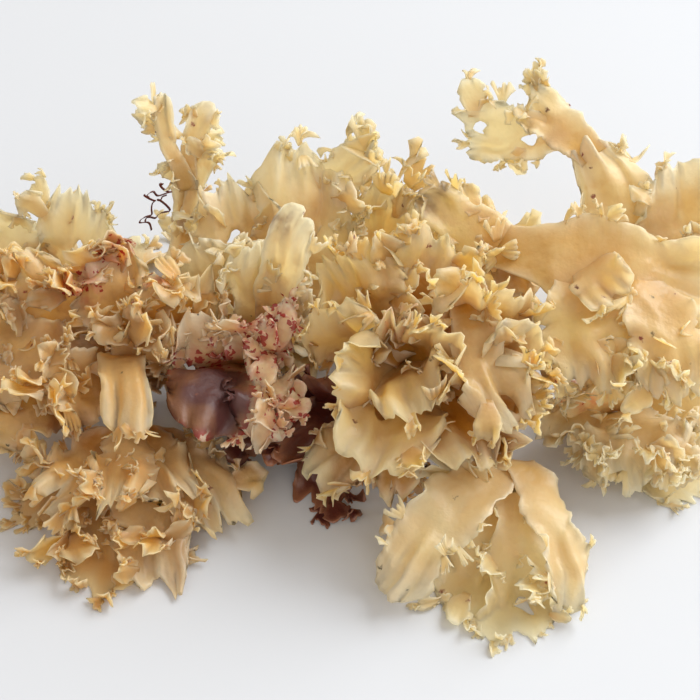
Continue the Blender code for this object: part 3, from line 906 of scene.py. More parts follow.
FRONDS: tuple[Frond, ...] = (
    Frond(
        "left_tuft",
        (
            Blade((-46, -1, 9), (-80, -4, 19), (0, -0.5, 0.85), (6, 16, 19), bow=4, frill=30,
                  fringe=2, seed=3),
            Blade((-47, -3, 8), (-79, -14, 10), (-0.1, -0.4, 0.9), (5, 14, 18), bow=4, fringe=2,
                  seed=4),
            Blade((-46, -1, 9), (-43, -25, 20), (0.1, -0.5, 0.85), (5, 9, 9), bow=9, frill=25,
                  scallop=0.06, seed=5),
            Blade((-46, 0, 9), (-68, 10, 30), (-0.3, -0.4, 0.9), (5, 14, 17), bow=2, fringe=2,
                  seed=6),
            Blade((-45, 0, 8), (-49, 11, 33), (0, -0.9, 0.4), (5, 13, 16), bow=3, fringe=2, seed=7),
            Blade((-44, 0, 8), (-31, 5, 32), (0.2, -0.8, 0.5), (5, 13, 16), bow=2, fringe=3,
                  seed=8),
            Blade((-47, -2, 8), (-58, -17, 23), (-0.2, -0.6, 0.8), (5, 13, 15), bow=2, fringe=2,
                  seed=9),
            Blade((-45, -1, 8), (-39, -5, 29), (0.1, -0.9, 0.5), (5, 12, 14), bow=2, fringe=2,
                  seed=10),
        ),
        (
            Rosette((-48, 10, 33), (0, -0.3, 1), 4, 7, seed=11),
            Rosette((-57, 6, 28), (-0.2, -0.3, 1), 4, 7, seed=12),
            Rosette((-36, 3, 31), (0.1, -0.5, 1), 4, 7, seed=13),
            Rosette((-43, -8, 27), (-0.2, -0.5, 1), 4, 7, seed=14),
            Rosette((-59, -16, 22), (-0.3, -0.7, 0.7), 4, 7, seed=15),
            Rosette((-68, 8, 29), (-0.3, -0.2, 1), 4, 7, seed=16),
        ),
        Look(
            Finish.AMBER, teeth=2.0, bristle=9,
            stains=(
                Stain((-47, 12, 34), 6, 0.6),
                Stain((-54, 6, 29), 6, 0.55),
                Stain((-40, 3, 34), 5, 0.55),
                Stain((-58, 9, 26), 5, 0.5),
                Stain((-48, 14, 34), 5, 0.7, dirt_and_shade=True),
            ),
            tufts=(Rosette((-42, -3, 9), (1, -0.3, 0.2), 10, 7, 0.6, seed=211),),
            fills=(
                Rosette((-46, 1, 9), (-0.2, 1, 0.3), 8, 10, 0.9, seed=231),
                Rosette((-43, -2, 9), (1, 0, 0.2), 5, 8, 0.7, seed=232),
            ),
        ),
    ),
    Frond(
        "left_back_frond",
        (
            Blade((-62, 22, 3), (-82, 28, 24), (0, -0.7, 0.7), (6, 15, 18), bow=2,
                  holes=((0.62, 0.3, 2),), fringe=2, seed=21),
            Blade((-61, 22, 3), (-57, 31, 28), (0, -0.8, 0.6), (6, 14, 18), bow=2,
                  holes=((0.62, -0.2, 1.8),), fringe=4, seed=22),
            Blade((-62, 22, 3), (-80, 42, -6), (0, 0.1, 1), (5, 13, 18), bow=4, flat_foot=True,
                  seed=23),
            Blade((-61, 23, 3), (-48, 44, -6), (0, 0.1, 1), (5, 13, 17), bow=4, flat_foot=True,
                  seed=24),
        ),
        (),
        Look(
            Finish.CREAM, teeth=2.0,
            fills=(
                Rosette((-62, 23, 5), (0, 1, 0.8), 7, 10, 1.0, seed=233),
                Rosette((-61, 20, 5), (0.3, -1, 0.6), 7, 10, 0.9, seed=234),
            ),
        ),
    ),
    Frond(
        "lower_left_frond",
        (
            Blade((-44, -13, 5), (-65, -32, -6), (-0.2, -0.3, 1), (4, 11, 14), bow=3, notch=0.28,
                  scallop=0.28, flat_foot=True, fringe=2, seed=31),
            Blade((-44, -13, 5), (-51, -48, -6), (0, -0.3, 1), (5, 12, 15), bow=4, notch=0.28,
                  scallop=0.28, flat_foot=True, fringe=3, seed=32),
            Blade((-43, -13, 5), (-36, -48, 0), (0, -0.3, 1), (5, 11, 14), bow=5, notch=0.28,
                  scallop=0.28, fringe=3, seed=33),
            Blade((-43, -13, 5), (-24, -34, 4), (0.3, -0.3, 1), (5, 11, 14), bow=4, notch=0.28,
                  scallop=0.28, fringe=3, seed=34),
            Blade((-44, -14, 6), (-59, -33, 11), (-0.2, -0.5, 0.9), (4, 11, 14), bow=2, notch=0.28,
                  scallop=0.28, fringe=3, seed=35),
            Blade((-43, -14, 6), (-45, -35, 13), (0.1, -0.5, 0.9), (4, 10, 13), bow=2, notch=0.28,
                  scallop=0.28, fringe=3, seed=36),
            Blade((-43, -14, 6), (-33, -33, 11), (0.1, -0.5, 0.9), (4, 10, 13), bow=2, notch=0.28,
                  scallop=0.28, fringe=2, seed=39),
        ),
        (
            Rosette((-55, -38, 6), (-0.2, -0.6, 1), 4, 6, seed=37),
            Rosette((-37, -40, 7), (0.1, -0.6, 1), 4, 6, seed=38),
        ),
        Look(
            Finish.AMBER, teeth=3.0, bristle=1, shade=0.5,
        ),
    ),
    Frond(
        "upright_frond",
        (
            Blade((-38, 17, 3), (-35, 31, 35), VIEWER, (5, 6, 6), bow=-2, frill=30, fringe=2,
                  fringe_size=4.5, seed=41),
            Blade((-35, 29, 32), (-39, 40, 49), VIEWER, (3.5, 3.5, 5), bow=1, fringe=2,
                  fringe_size=4, seed=42),
            Blade((-35, 29, 32), (-28, 40, 46), VIEWER, (3.5, 3.5, 5), sway=1.5, fringe=2,
                  fringe_size=4, seed=43),
            Blade((-36, 25, 25), (-26, 34, 40), VIEWER, (3, 3.5, 4.5), sway=2, fringe=2,
                  fringe_size=4, seed=44),
            Blade((-38, 17, 3), (-34, 44, -6), (0, 0.1, 1), (4, 11, 15), bow=4, flat_foot=True,
                  seed=45),
        ),
        (),
        Look(
            Finish.CREAM, teeth=2.0, tooth_size=4.0,
            fills=(Rosette((-38, 18, 5), (0, 0.5, 1), 7, 9, 1.2, seed=235),),
            stains=(Stain((-36, 26, 24), 4, 0.6, dirt_and_shade=True),),
        ),
    ),
    Frond(
        "back_frond",
        (
            Blade((-16, 9, 7), (-24, 24, 38), (-0.1, -0.8, 0.6), (6, 16, 20), bow=2,
                  holes=((0.7, 0.2, 1.8),), fringe=2, seed=51),
            Blade((-15, 9, 7), (-8, 28, 42), (0.1, -0.8, 0.6), (6, 17, 21), bow=2, fringe=3,
                  seed=52),
            Blade((-16, 8, 8), (-17, 6, 37), (-0.1, -0.9, 0.5), (6, 14, 17), bow=2, fringe=3,
                  seed=53),
            Blade((-14, 7, 8), (-8, 7, 47), (-0.5, -0.7, 0.5), (6, 9, 11), bow=5, trough=50,
                  frill=12, scallop=0.06, seed=54),
            Blade((-12, 20, 28), (4, 33, 42), VIEWER, (5, 7, 9), bow=1, fringe=2, fringe_size=4,
                  seed=55),
            Blade((-17, 9, 7), (-31, 15, 31), (-0.3, -0.8, 0.5), (5, 12, 15), bow=2, fringe=2,
                  seed=56),
        ),
        (),
        Look(
            Finish.CREAM, teeth=2.0, bristle=4, shade=0.6,
            tufts=(
                Rosette((4, 33, 42), (0.2, 0.1, 1), 5, 6, 0.7, seed=201),
                Rosette((-9, 29, 43), (0, 0.1, 1), 5, 5, 0.7, seed=202),
                Rosette((-13.5, 6.5, 8), (0.8, -0.7, 0.3), 8, 9, 0.6, seed=213),
            ),
            fills=(
                Rosette((-15, 11, 9), (0, 1, 0.4), 7, 10, 1.0, seed=236),
                Rosette((-13, 6, 9), (0.8, -0.8, 0), 4, 9, 0.6, seed=244),
            ),
            # Painted shade: these dark olive patches on the folded blades stand for the shade in
            # their crevices, the stronger one at the top of the folded strap.
            stains=(
                Stain((-13, 6, 45), 4, 0.7, dirt_and_shade=True),
                Stain((-22, 18, 33), 3, 0.6, dirt_and_shade=True),
            ),
        ),
    ),
    Frond(
        "stained_frond",
        (
            Blade((-24, -3, 14), (-28, -24, 18), (0.1, -0.5, 0.85), (14, 22, 20), bow=5,
                  trough=-35, frill=12, notch=0.07, scallop=0.05, holes=((0.6, 0.45, 2),), seed=61),
            Blade((-23, -4, 13), (-14, -22, 18), (0.3, -0.6, 0.8), (6, 11, 14), bow=5, fringe=3,
                  seed=62),
            Blade((-23, -3, 13), (-16, -5, 29), (0.2, -0.9, 0.4), (6, 11, 14), bow=2, fringe=2,
                  seed=63),
            Blade((-24, -3, 13), (-28, -3, 29), (-0.1, -0.9, 0.4), (6, 10, 13), bow=2, fringe=2,
                  seed=64),
        ),
        (
            Rosette((-15, -9, 26), (0.3, -0.5, 1), 4, 6, seed=65),
            Rosette((-14, -19, 20), (0.4, -0.7, 0.6), 4, 6, seed=66),
        ),
        Look(
            Finish.STAINED, teeth=2.0, bristle=7,
            stains=(
                Stain((-28, -15, 18), 13, 1.0),
                Stain((-15, -6, 28), 10, 0.6),
                Stain((-12, -19, 19), 8, 0.55),
            ),
        ),
    ),
    Frond(
        "centre_frond",
        (
            Blade((11, -7, 14), (-3, -22, 31), (-0.3, -0.7, 0.7), (8, 19, 23), bow=3, frill=60,
                  fringe=2, seed=71),
            Blade((12, -8, 13), (4, -35, 22), (-0.1, -0.6, 0.8), (8, 19, 20), bow=7, frill=35,
                  scallop=0.08, holes=((0.62, -0.2, 2),), fringe=1, seed=72),
            Blade((12, -5, 14), (9, -12, 40), (-0.1, -0.9, 0.4), (6, 9, 10), bow=2, frill=25,
                  notch=0.3, scallop=0.04, seed=73),
            Blade((13, -6, 13), (18, -17, 41), (-0.4, -0.8, 0.5), (8, 15, 17), bow=2, frill=65,
                  fringe=2, seed=74),
            Blade((14, -7, 13), (35, -25, 27), (0.5, -0.7, 0.6), (8, 17, 22), bow=3, frill=60,
                  fringe=3, seed=75),
            Blade((14, -5, 13), (29, -9, 44), (0.2, -0.9, 0.4), (8, 16, 21), bow=2, frill=60,
                  fringe=2, seed=76),
            Blade((14, -6, 13), (36, -15, 37), (0.4, -0.8, 0.5), (7, 14, 17), bow=2, frill=60,
                  fringe=2, seed=70),
            Blade((11, -4, 13), (0, 4, 41), (-0.3, -0.8, 0.5), (7, 15, 19), bow=3, fringe=2,
                  seed=77),
            Blade((12, -4, 13), (13, 6, 44), (0, -0.9, 0.4), (7, 15, 18), bow=2, fringe=3, seed=78),
            Blade((11, -8, 12), (-7, -30, 12), (-0.2, -0.5, 0.85), (5, 9, 11), bow=3, frill=30,
                  seed=79),
            Blade((11, -5, 13), (-5, -7, 35), (-0.4, -0.8, 0.5), (6, 14, 17), bow=2, fringe=2,
                  seed=69),
            Blade((14, -8, 12), (22, -34, 22), (0.2, -0.6, 0.8), (6, 14, 17), bow=4, scallop=0.08,
                  fringe=1, seed=80),
            Blade((11, -6, 20), (12, -28, 31), (-0.1, -0.6, 0.8), (6, 13, 16), bow=3, frill=50,
                  scallop=0.08, fringe=1, seed=67),
            Blade((22, -4, 39), (30, -29, 28), (-0.3, -0.6, 0.75), (7, 10, 13), bow=4, twist=35,
                  frill=60, holes=((0.85, 0.3, 1.4),), fringe=1, seed=68),
        ),
        (),
        Look(
            Finish.HONEY, teeth=2.0, tooth_size=3.2,
            fills=(
                Rosette((14, -3, 14), (0.6, 1, 0.2), 8, 10, 0.9, seed=239),
                Rosette((8, -26, 16), (-0.2, -1, -0.5), 5, 9, 0.8, seed=245),
            ),
            stains=(Stain((9.5, -10, 38), 7, 0.3),),
        ),
    ),
    Frond(
        "arching_frond",
        (
            Blade((29, 11, 34), (74, -2, 31), (0.05, -0.6, 0.8), (9, 20, 21), bow=6, frill=25,
                  scallop=0.07, seed=81),
            Blade((31, 11, 33), (14, 17, 42), (-0.1, -0.7, 0.7), (9, 9, 9), bow=1, frill=25,
                  fringe=2, seed=82),
            Blade((44, 5, 35), (48, -17, 25), (0, -0.5, 0.85), (10, 17, 20), bow=4, fringe=3,
                  seed=83),
            Blade((56, 1, 36), (63, -19, 24), (0.2, -0.5, 0.85), (9, 15, 19), bow=4, fringe=3,
                  seed=84),
            Blade((45, 5, 36), (52, -6, 37), (0, -0.6, 0.8), (6, 11, 11), bow=3, frill=25,
                  notch=0.06, scallop=0.05, seed=85),
            Blade((31, 11, 34), (36, 23, -6), (0.1, 0.9, 0.3), (8, 10, 13), bow=3, frill=25,
                  flat_foot=True, seed=86),
        ),
        (
            Rosette((50, -15, 27), (0, -0.6, 0.8), 4, 6, seed=87),
            Rosette((62, -17, 26), (0.2, -0.6, 0.8), 4, 6, seed=88),
        ),
        Look(
            Finish.STRAW, teeth=2.0, bristle=3,
            tufts=(Rosette((29, 10, 36), (0, -0.4, 1), 8, 4, 1.0, seed=214),),
            fills=(Rosette((32, 13, 30), (0.2, 0.8, -0.6), 7, 9, 1.0, seed=240),),
            stains=(Stain((16, 17, 42), 6, 0.4, dirt_and_shade=True),),
        ),
    ),
    Frond(
        "right_tuft",
        (
            Blade((54, -6, 3), (57, -27, 8), (0, -0.5, 0.85), (6, 17, 21), bow=5, fringe=3,
                  seed=91),
            Blade((55, -6, 3), (72, -23, -6), (0.2, -0.4, 0.9), (6, 15, 19), bow=5, flat_foot=True,
                  fringe=3, seed=92),
            Blade((53, -6, 3), (42, -19, 10), (-0.3, -0.5, 0.8), (5, 13, 16), bow=3, fringe=3,
                  seed=93),
            Blade((56, -5, 3), (78, -7, 13), (0.2, -0.5, 0.85), (6, 14, 18), bow=3, fringe=2,
                  seed=94),
            Blade((54, -5, 3), (50, -12, 19), (-0.1, -0.8, 0.6), (5, 13, 16), bow=2, fringe=2,
                  seed=97),
        ),
        (
            Rosette((58, -23, 12), (0, -0.6, 1), 4, 6, seed=95),
            Rosette((69, -21, 7), (0.3, -0.6, 0.8), 4, 6, seed=96),
        ),
        Look(
            Finish.CREAM, teeth=3.0, bristle=6, shade=0.2,
            fills=(Rosette((55, -3, 5), (0, 1, 0.7), 8, 9, 0.9, seed=241),),
            stains=(Stain((47, -6, 12), 8, 0.62),),
        ),
    ),
    Frond(
        "back_right_frond",
        (
            Blade((69, 16, 10), (50, 39, 36), (0, -0.7, 0.7), (7, 19, 13), bow=2, frill=30,
                  scallop=0.08, seed=101),
            Blade((52, 37, 34), (37, 50, 39), (0, -0.6, 0.8), (9, 10, 11), bow=1, frill=25,
                  fringe=2, seed=102),
            Blade((47, 42, 36), (25, 46, 32), (0, -0.6, 0.8), (8, 11, 14), bow=1, frill=30,
                  holes=((0.38, 0.2, 1.6), (0.85, -0.25, 1.3)), fringe=2, seed=103),
            Blade((70, 16, 10), (68, 34, 34), (0, -0.8, 0.6), (7, 15, 17), bow=2, fringe=2,
                  seed=104),
            Blade((70, 16, 10), (82, 24, 27), (0.2, -0.8, 0.6), (7, 15, 19), bow=2, fringe=2,
                  seed=105),
            Blade((69, 17, 9), (58, 46, -6), (0.1, 0.2, 1), (6, 13, 17), bow=4, flat_foot=True,
                  seed=106),
        ),
        (),
        Look(
            Finish.CREAM, teeth=2.0,
            fills=(
                Rosette((69, 18, 10), (-0.3, 1, 0), 7, 10, 1.0, seed=242),
                Rosette((68, 15, 10), (-1, -0.5, 0), 6, 10, 0.8, seed=243),
            ),
        ),
    ),
    Frond(
        "front_frond",
        (
            Blade((31, -24, 10), (7, -51, 4), (-0.35, -0.6, 0.75), (9, 13, 12), bow=6, trough=20,
                  frill=35, scallop=0.12, seed=111),
            Blade((32, -24, 10), (21, -54, -6), (0, -0.5, 0.85), (8, 11, 14), bow=2,
                  flat_foot=True, fringe=2, seed=112),
            Blade((33, -24, 10), (32, -59, -6), (0.1, -0.5, 0.85), (8, 11, 17), bow=3,
                  flat_foot=True, holes=((0.76, 0.1, 1.8),), fringe=2, seed=113),
            Blade((33, -24, 10.5), (42, -53, 3), (0.4, -0.5, 0.8), (7, 9, 12), bow=4, frill=55,
                  fringe=2, seed=114),
        ),
        (),
        Look(
            Finish.CREAM, teeth=2.0, shade=0.2,
            tufts=(Rosette((23, -31, 12), (-1, 0.4, 0.2), 7, 8, 0.7, seed=215),),
        ),
    ),
    Frond(
        "maroon_frond",
        (
            Blade((-1, -8, 4), (-7.5, -27, -6), (0, -0.2, 1), (5, 9, 11), bow=5.6, flat_foot=True,
                  fringe=1, seed=121),
            Blade((-2, -7, 4), (-14, -21, 12), (-0.2, -0.6, 0.8), (5, 12, 15), bow=2, fringe=2,
                  seed=122),
            Blade((-2, -7, 4), (-10, -8, 18), (-0.2, -0.9, 0.4), (5, 9, 11), bow=1, fringe=2,
                  seed=123),
            Blade((-2.4, -7.3, 4.6), (-25, -13, 8), (0, -0.3, 1), (5, 11, 13), bow=1, fringe=1,
                  seed=124),
        ),
        (),
        Look(
            Finish.MAROON, teeth=2.0,
        ),
    ),
    Frond(
        "rear_frond",
        (
            Blade((4, 20, 3), (-15, 44, -6), (0, 0.2, 1), (6, 15, 19), bow=7, flat_foot=True,
                  fringe=2, seed=131),
            Blade((4, 20, 3), (14, 47, -6), (0.1, 0.2, 1), (6, 15, 19), bow=7, flat_foot=True,
                  fringe=2, seed=132),
            Blade((4, 19, 3), (10, 28, 35), (0, -0.9, 0.4), (5, 12, 16), bow=2, fringe=3, seed=133),
            Blade((5, 19, 3), (24, 26, 25), (0.2, -0.6, 0.8), (5, 13, 16), bow=2, fringe=2,
                  seed=134),
        ),
        (),
        Look(
            Finish.STRAW, teeth=2.0, tooth_size=4.0, shade=0.6,
            tufts=(
                Rosette((10, 28, 36), (0.2, 0.1, 1), 6, 7, 0.7, seed=203),
                Rosette((24, 26, 26), (0.5, 0, 1), 5, 6, 0.7, seed=204),
            ),
            fills=(
                Rosette((4, 21, 5), (0, 1, 0.7), 8, 10, 1.0, seed=237),
                Rosette((6, 17, 6), (0.8, -0.8, 0.5), 7, 10, 0.9, seed=238),
            ),
        ),
    ),
)


@dataclass
class NodeTree:
    """Short ways to add nodes to a shader tree and join them."""

    tree: bpy.types.NodeTree

    def add(self, kind: str, settings: dict | None = None, **inputs: object) -> bpy.types.Node:
        """Adds a node.

        Args:
            kind: The node's type, without ShaderNode.
            settings: Values of the node's own properties.
            **inputs: Values or output sockets for its inputs, named with _ for each space.

        Returns:
            The node.
        """
        node = self.tree.nodes.new("ShaderNode" + kind)
        for key, value in (settings or {}).items():
            setattr(node, key, value)
        for key, value in inputs.items():
            self.feed(node.inputs[key.replace("_", " ")], value)
        return node

    def feed(self, socket: Socket, value: object) -> None:
        """Links a socket to another, or sets its value."""
        if isinstance(value, Socket):
            self.tree.links.new(value, socket)
        else:
            socket.default_value = value

    def feed_all(self, node: bpy.types.Node, places: Iterable[int | str],
                 values: Iterable[object]) -> None:
        """Feeds several inputs of a node, found by their names or numbers."""
        for place, value in zip(places, values):
            self.feed(node.inputs[place], value)

    def math(self, operation: str, first: object, second: object, clamp: bool = False) -> Socket:
        """Adds a Math node and returns its output."""
        node = self.add("Math", {"operation": operation, "use_clamp": clamp})
        self.feed_all(node, (0, 1), (first, second))
        return node.outputs[0]

    def plus(self, first: object, second: object, clamp: bool = False) -> Socket:
        """Adds two values."""
        return self.math("ADD", first, second, clamp)

    def less(self, first: object, second: object) -> Socket:
        """Takes the second value from the first."""
        return self.math("SUBTRACT", first, second)

    def times(self, first: object, second: object) -> Socket:
        """Multiplies two values."""
        return self.math("MULTIPLY", first, second)

    def mix(self, factor: object, first: object, second: object) -> Socket:
        """Adds a colour Mix node and returns its result."""
        node = self.add("Mix", {"data_type": "RGBA"})
        self.feed_all(node, (0, 6, 7), (factor, first, second))
        return node.outputs[2]

    def ramp(self, value: object, low: float, high: float) -> Socket:
        """Adds a Map Range node that eases from 0 at low to 1 at high."""
        node = self.add("MapRange", {"interpolation_type": "SMOOTHSTEP"})
        self.feed_all(node, ("Value", "From Min", "From Max"), (value, low, high))
        return node.outputs["Result"]

    def noise(self, where: object, scale: float, detail: float = 2.0) -> Socket:
        """Adds a Noise Texture and returns its height."""
        node = self.add("TexNoise", Vector=where, Scale=scale, Detail=detail)
        return node.outputs["Fac"]


def rgba(colour: Colour) -> Rgba:
    """Adds a full alpha to a colour."""
    return (*colour, 1.0)


# Bumps to a metre in each pattern of a dried frond.
PATCH_SCALE = 75.0
MOTTLE_SCALE = 420.0
WANDER_SCALE = 900.0
SPECK_SCALE = 420.0
SPOT_SCALE = 520.0
SOAK_SCALE = 110.0
SOIL_AND_SHADE_SCALE = 300.0
RELIEF_SCALE = 700.0

# Colours on the surface and in the light that comes through.
BLUSH = (rgba((0.74, 0.36, 0.22)), rgba((0.86, 0.30, 0.15)))
RED_SPOT = (rgba((0.46, 0.035, 0.024)), rgba((0.55, 0.04, 0.03)))
# Dark olive brown of the dirt, which also paints crevice shade on the back frond.
SOIL_AND_SHADE = (rgba((0.26, 0.13, 0.035)), rgba((0.34, 0.15, 0.03)))
SOAKED_DARK = rgba((0.10, 0.028, 0.024))
SOAKED_BROWN = rgba((0.28, 0.12, 0.048))
SOAKED_LIGHT = rgba((0.30, 0.08, 0.05))
RED_SPECK = rgba((0.33, 0.03, 0.03))
DARK_SPECK = rgba((0.12, 0.09, 0.03))

GROUP_INPUTS = {
    "Marks": "Color", "Place": "Vector", "Pale": "Color", "Deep": "Color", "Through": "Color",
    "Edge": "Color", "Thinness": "Float", "Blotch": "Float", "Specks": "Float",
}
GROUP_OUTPUTS = {
    "Colour": "Color", "Through": "Color", "Thinness": "Float", "Roughness": "Float",
    "Relief": "Float",
}


def moss_group() -> bpy.types.NodeTree:
    """Builds the node group that colours a dried frond.

    Returns:
        The group, with the surface colour, the colour of light that comes through, the share of
        light that does, the roughness and the relief as its outputs.
    """
    group = bpy.data.node_groups.new("dried_moss", "ShaderNodeTree")
    for side, sockets in (("INPUT", GROUP_INPUTS), ("OUTPUT", GROUP_OUTPUTS)):
        for name, kind in sockets.items():
            group.interface.new_socket(name, in_out=side, socket_type="NodeSocket" + kind)
    nodes = NodeTree(group)
    given = group.nodes.new("NodeGroupInput").outputs
    place = given["Place"]
    margin, tone, stain = nodes.add("SeparateColor", Color=given["Marks"]).outputs
    # The alpha of the marks: painted shade under other fronds, plus the deeper tone near the root.
    depth = nodes.add("Attribute", {"attribute_name": "marks"}).outputs["Alpha"]

    # How far a spot has gone from the pale to the deep colour: patches, random tone, the deeper
    # root and painted shade under other fronds.
    patches = nodes.ramp(nodes.noise(place, PATCH_SCALE), 0.42, 0.72)
    mottle = nodes.noise(place, MOTTLE_SCALE)
    deep_tone_and_shade = nodes.plus(nodes.times(patches, given["Blotch"]), nodes.times(depth, 0.85))
    deep_tone_and_shade = nodes.plus(deep_tone_and_shade, nodes.times(nodes.less(tone, 0.5), 0.5))
    deep_tone_and_shade = nodes.plus(deep_tone_and_shade, nodes.times(nodes.less(mottle, 0.5), 0.45), clamp=True)
    rim = nodes.times(margin, nodes.less(0.95, nodes.times(deep_tone_and_shade, 0.5)))
    colour = nodes.mix(deep_tone_and_shade, given["Pale"], given["Deep"])
    colour = nodes.mix(rim, colour, given["Edge"])
    through = nodes.mix(nodes.times(deep_tone_and_shade, 0.85), given["Through"], given["Deep"])
    through = nodes.mix(nodes.times(rim, 0.7), through, given["Edge"])

    # Cells with wandering outlines, for the specks and the red spots.
    wander = nodes.add("TexNoise", Vector=place, Scale=WANDER_SCALE).outputs["Color"]
    wander = nodes.add("VectorMath", {"operation": "SCALE"}, Vector=wander, Scale=0.0022)
    uneven = nodes.add("VectorMath", {"operation": "ADD"})
    nodes.feed_all(uneven, (0, 1), (place, wander.outputs[0]))
    uneven = uneven.outputs[0]
    cells = nodes.add("TexVoronoi", Vector=uneven, Scale=SPECK_SCALE).outputs
    chance = nodes.add("SeparateColor", Color=cells["Color"]).outputs
    few = nodes.math("GREATER_THAN", nodes.times(given["Specks"], 0.16), chance[0])
    specks = nodes.times(nodes.ramp(cells["Distance"], 0.27, 0.08), few)
    ink = nodes.mix(nodes.ramp(chance[1], 0.35, 0.6), RED_SPECK, DARK_SPECK)
    spots = nodes.add("TexVoronoi", Vector=uneven, Scale=SPOT_SCALE).outputs["Distance"]
    spots = nodes.plus(nodes.times(spots, 0.8), 0.12)
    spots = nodes.ramp(nodes.less(nodes.times(stain, 0.75), spots), 0.0, 0.06)

    # Pigment that the bleaching left, and dark olive patches of dirt and of painted crevice shade.
    soaked = nodes.ramp(stain, 0.66, 0.95)
    pigment = nodes.ramp(nodes.noise(place, SOAK_SCALE, 1.0), 0.38, 0.62)
    pigment = nodes.mix(pigment, SOAKED_DARK, SOAKED_BROWN)
    blush = nodes.times(nodes.ramp(stain, 0.1, 0.6), nodes.ramp(mottle, 0.38, 0.68))
    soil_and_shade = nodes.add("Attribute", {"attribute_name": "soil_and_shade"}).outputs["Fac"]
    soil_and_shade = nodes.times(soil_and_shade, nodes.ramp(nodes.noise(place, SOIL_AND_SHADE_SCALE), 0.30, 0.75))
    layers = (
        (nodes.times(blush, 0.6), *BLUSH),
        (nodes.times(spots, 0.9), *RED_SPOT),
        (soaked, pigment, SOAKED_LIGHT),
        (soil_and_shade, *SOIL_AND_SHADE),
        (nodes.times(specks, 0.85), ink, ink),
    )
    for mask, on_surface, in_light in layers:
        colour = nodes.mix(mask, colour, on_surface)
        through = nodes.mix(mask, through, in_light)

    thin = nodes.times(given["Thinness"], nodes.less(1.0, nodes.times(deep_tone_and_shade, 0.45)))
    thin = nodes.times(thin, nodes.less(1.0, nodes.times(soaked, 0.6)))
    shine = nodes.plus(0.25, nodes.times(mottle, 0.2))
    shine = nodes.plus(shine, nodes.times(soaked, 0.2))
    relief = nodes.noise(place, RELIEF_SCALE)
    shown = group.nodes.new("NodeGroupOutput")
    nodes.feed_all(shown, range(len(GROUP_OUTPUTS)), (colour, through, thin, shine, relief))
    return group


def moss_material(name: str, finish: MossFinish, group: bpy.types.NodeTree) -> bpy.types.Material:
    """Makes the material of one kind of frond.

    Args:
        name: The material's name.
        finish: Its colours.
        group: The node group that all the fronds share.

    Returns:
        The material.
    """
    material = bpy.data.materials.new(name)
    material.use_nodes = True
    tree = material.node_tree
    nodes = NodeTree(tree)
    marks = nodes.add("Attribute", {"attribute_name": "marks"})
    look = nodes.add(
        "Group",
        {"node_tree": group},
        Marks=marks.outputs["Color"],
        Place=nodes.add("TexCoord").outputs["Object"],
        Pale=rgba(finish.pale),
        Deep=rgba(finish.deep),
        Through=rgba(finish.through),
        Edge=rgba(finish.edge),
        Thinness=finish.thinness,
        Blotch=finish.blotch,
        Specks=finish.specks,
    ).outputs
    bump = nodes.add("Bump", Strength=0.35, Distance=0.0006, Height=look["Relief"]).outputs[0]
    shader = tree.nodes["Principled BSDF"]
    nodes.feed_all(shader, ("Base Color", "Roughness", "Normal", "Specular IOR Level"),
                   (look["Colour"], look["Roughness"], bump, 0.8))
    glow = nodes.add("BsdfTranslucent", Color=look["Through"], Normal=bump)
    blend = nodes.add("MixShader")
    nodes.feed_all(blend, (0, 1, 2), (look["Thinness"], shader.outputs[0], glow.outputs[0]))
    nodes.feed(tree.nodes["Material Output"].inputs["Surface"], blend.outputs[0])
    return material


MATERIALS: dict[Finish, bpy.types.Material] = {}

# The red threads: where they end, and how wide, slanted and thick they are.
THREADS: tuple[tuple[Point, Point], ...] = (
    ((-37.5, 27, 33), (-42, 25, 27)),
    ((-38, 28, 35), (-41, 26, 33)),
    ((-42, 26, 34), (-41.5, 24.5, 25)),
)
THREAD_HALF_WIDTH = 0.17
THREAD_SLANT = 0.1
THREAD_THICKNESS = 0.3
THREAD_CELLS = 30


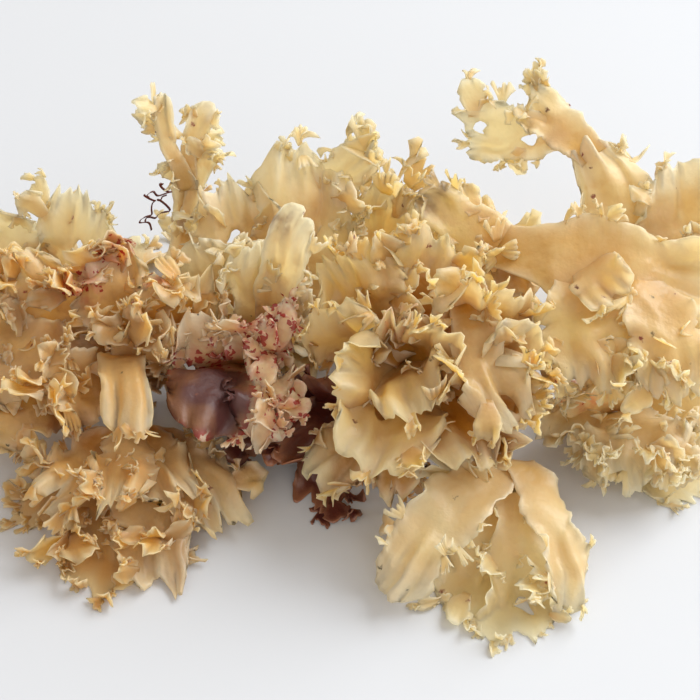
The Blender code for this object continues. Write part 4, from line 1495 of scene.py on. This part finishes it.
@dataclass
class Studio:
    """The pale floor, the soft lights and the camera.

    Attributes:
        target: The point that the camera looks at, in metres.
        distance: How far off the camera is.
        elevation: How high it stands over the floor, in degrees.
        lens: Its focal length in millimetres.
        floor_colour: Colour of the floor.
        room_colour: Colour of the room's even light.
        room_strength: Strength of that light.
    """

    target: Vector = field(default_factory=lambda: Vector((0.0004, -0.00157, 0.020)))
    distance: float = 0.331
    elevation: float = 50.0
    lens: float = 85.0
    floor_colour: Colour = (0.565, 0.585, 0.622)
    room_colour: Colour = (1.0, 0.91, 0.80)
    room_strength: float = 0.67

    def build(self) -> None:
        """Builds the floor, the world, the lights and the camera."""
        self.add_floor()
        self.add_world()
        self.add_light("key", (1.15, 0.60, 1.06), 1.3, 42.0, (0.93, 0.97, 1.0))
        self.add_light("fill", (0.10, -0.40, 0.42), 0.6, 0.8, (1.0, 1.0, 1.0))
        self.add_camera()

    def add_floor(self) -> None:
        """Adds the plain pale floor."""
        mesh = bmesh.new()
        bmesh.ops.create_grid(mesh, x_segments=1, y_segments=1, size=3.0)
        floor = new_object("floor", mesh)
        material = bpy.data.materials.new("floor_white")
        material.use_nodes = True
        shader = material.node_tree.nodes["Principled BSDF"]
        shader.inputs["Base Color"].default_value = rgba(self.floor_colour)
        shader.inputs["Roughness"].default_value = 0.7
        floor.data.materials.append(material)

    def add_world(self) -> None:
        """Adds the even light of the room."""
        world = bpy.data.worlds.new("studio")
        world.use_nodes = True
        background = world.node_tree.nodes["Background"]
        background.inputs["Color"].default_value = rgba(self.room_colour)
        background.inputs["Strength"].default_value = self.room_strength
        bpy.context.scene.world = world

    def add_light(self, name: str, place: Point, size: float, power: float,
                  colour: Colour) -> None:
        """Adds a soft square light that faces the tangle.

        Args:
            name: The light's name.
            place: Where it hangs, in metres.
            size: Length of its side, in metres.
            power: Its power in watts.
            colour: Its colour.
        """
        light = bpy.data.lights.new(name, "AREA")
        light.size = size
        light.energy = power
        light.color = colour
        lamp = bpy.data.objects.new(name, light)
        lamp.location = place
        lamp.rotation_euler = (self.target - Vector(place)).to_track_quat("-Z", "Y").to_euler()
        bpy.context.scene.collection.objects.link(lamp)

    def add_camera(self) -> None:
        """Adds the camera at the photograph's angle."""
        rise = math.radians(self.elevation)
        data = bpy.data.cameras.new("camera")
        data.lens = self.lens
        data.sensor_width = 36.0
        camera = bpy.data.objects.new("camera", data)
        camera.location = self.target + Vector((0, -math.cos(rise), math.sin(rise))) * self.distance
        camera.rotation_euler = (self.target - camera.location).to_track_quat("-Z", "Y").to_euler()
        bpy.context.scene.collection.objects.link(camera)
        bpy.context.scene.camera = camera


def red_threads() -> None:
    """Adds the thin red threads that hang on the upright frond."""
    mesh = bmesh.new()
    draw = random.Random(THREAD_SEED)
    for start, end in THREADS:
        verts = new_grid(mesh, 1, THREAD_CELLS)
        phase = [draw.uniform(0, 6.28) for _ in range(4)]
        for vert in verts:
            u = (vert.co.y + 1) / 2
            middle = Vector(start).lerp(Vector(end), u)
            sway = math.sin(math.pi * u) + 0.3
            first, second, third, fourth = (math.sin(pace * u + turn)
                                            for pace, turn in zip((7, 19, 9, 23), phase))
            middle.x += sway * (1.5 * first + 0.5 * second)
            middle.z += sway * (0.7 * third + 0.4 * fourth)
            across = Vector((THREAD_HALF_WIDTH * vert.co.x, 0, THREAD_SLANT * vert.co.x))
            vert.co = (middle + across + TO_ORIGIN) * MM
    piece = new_object("red_threads", mesh)
    thicken(piece, THREAD_THICKNESS)
    piece.data.materials.append(MATERIALS[Finish.MAROON])
    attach(piece, "root")
    log.info("%s: %d threads", piece.name, len(THREADS))


def main() -> None:
    """Builds the fronds in order, then the studio."""
    logging.basicConfig(level=logging.INFO)
    noise.seed_set(NOISE_SEED)
    group = moss_group()
    for kind, finish in FINISHES.items():
        MATERIALS[kind] = moss_material(kind.value, finish, group)
    canopy = Canopy(FRONDS)
    for frond in FRONDS:
        frond.build(canopy)
    red_threads()
    Studio().build()
    bpy.context.scene.view_settings.view_transform = "Standard"


if __name__ == "__main__":
    main()
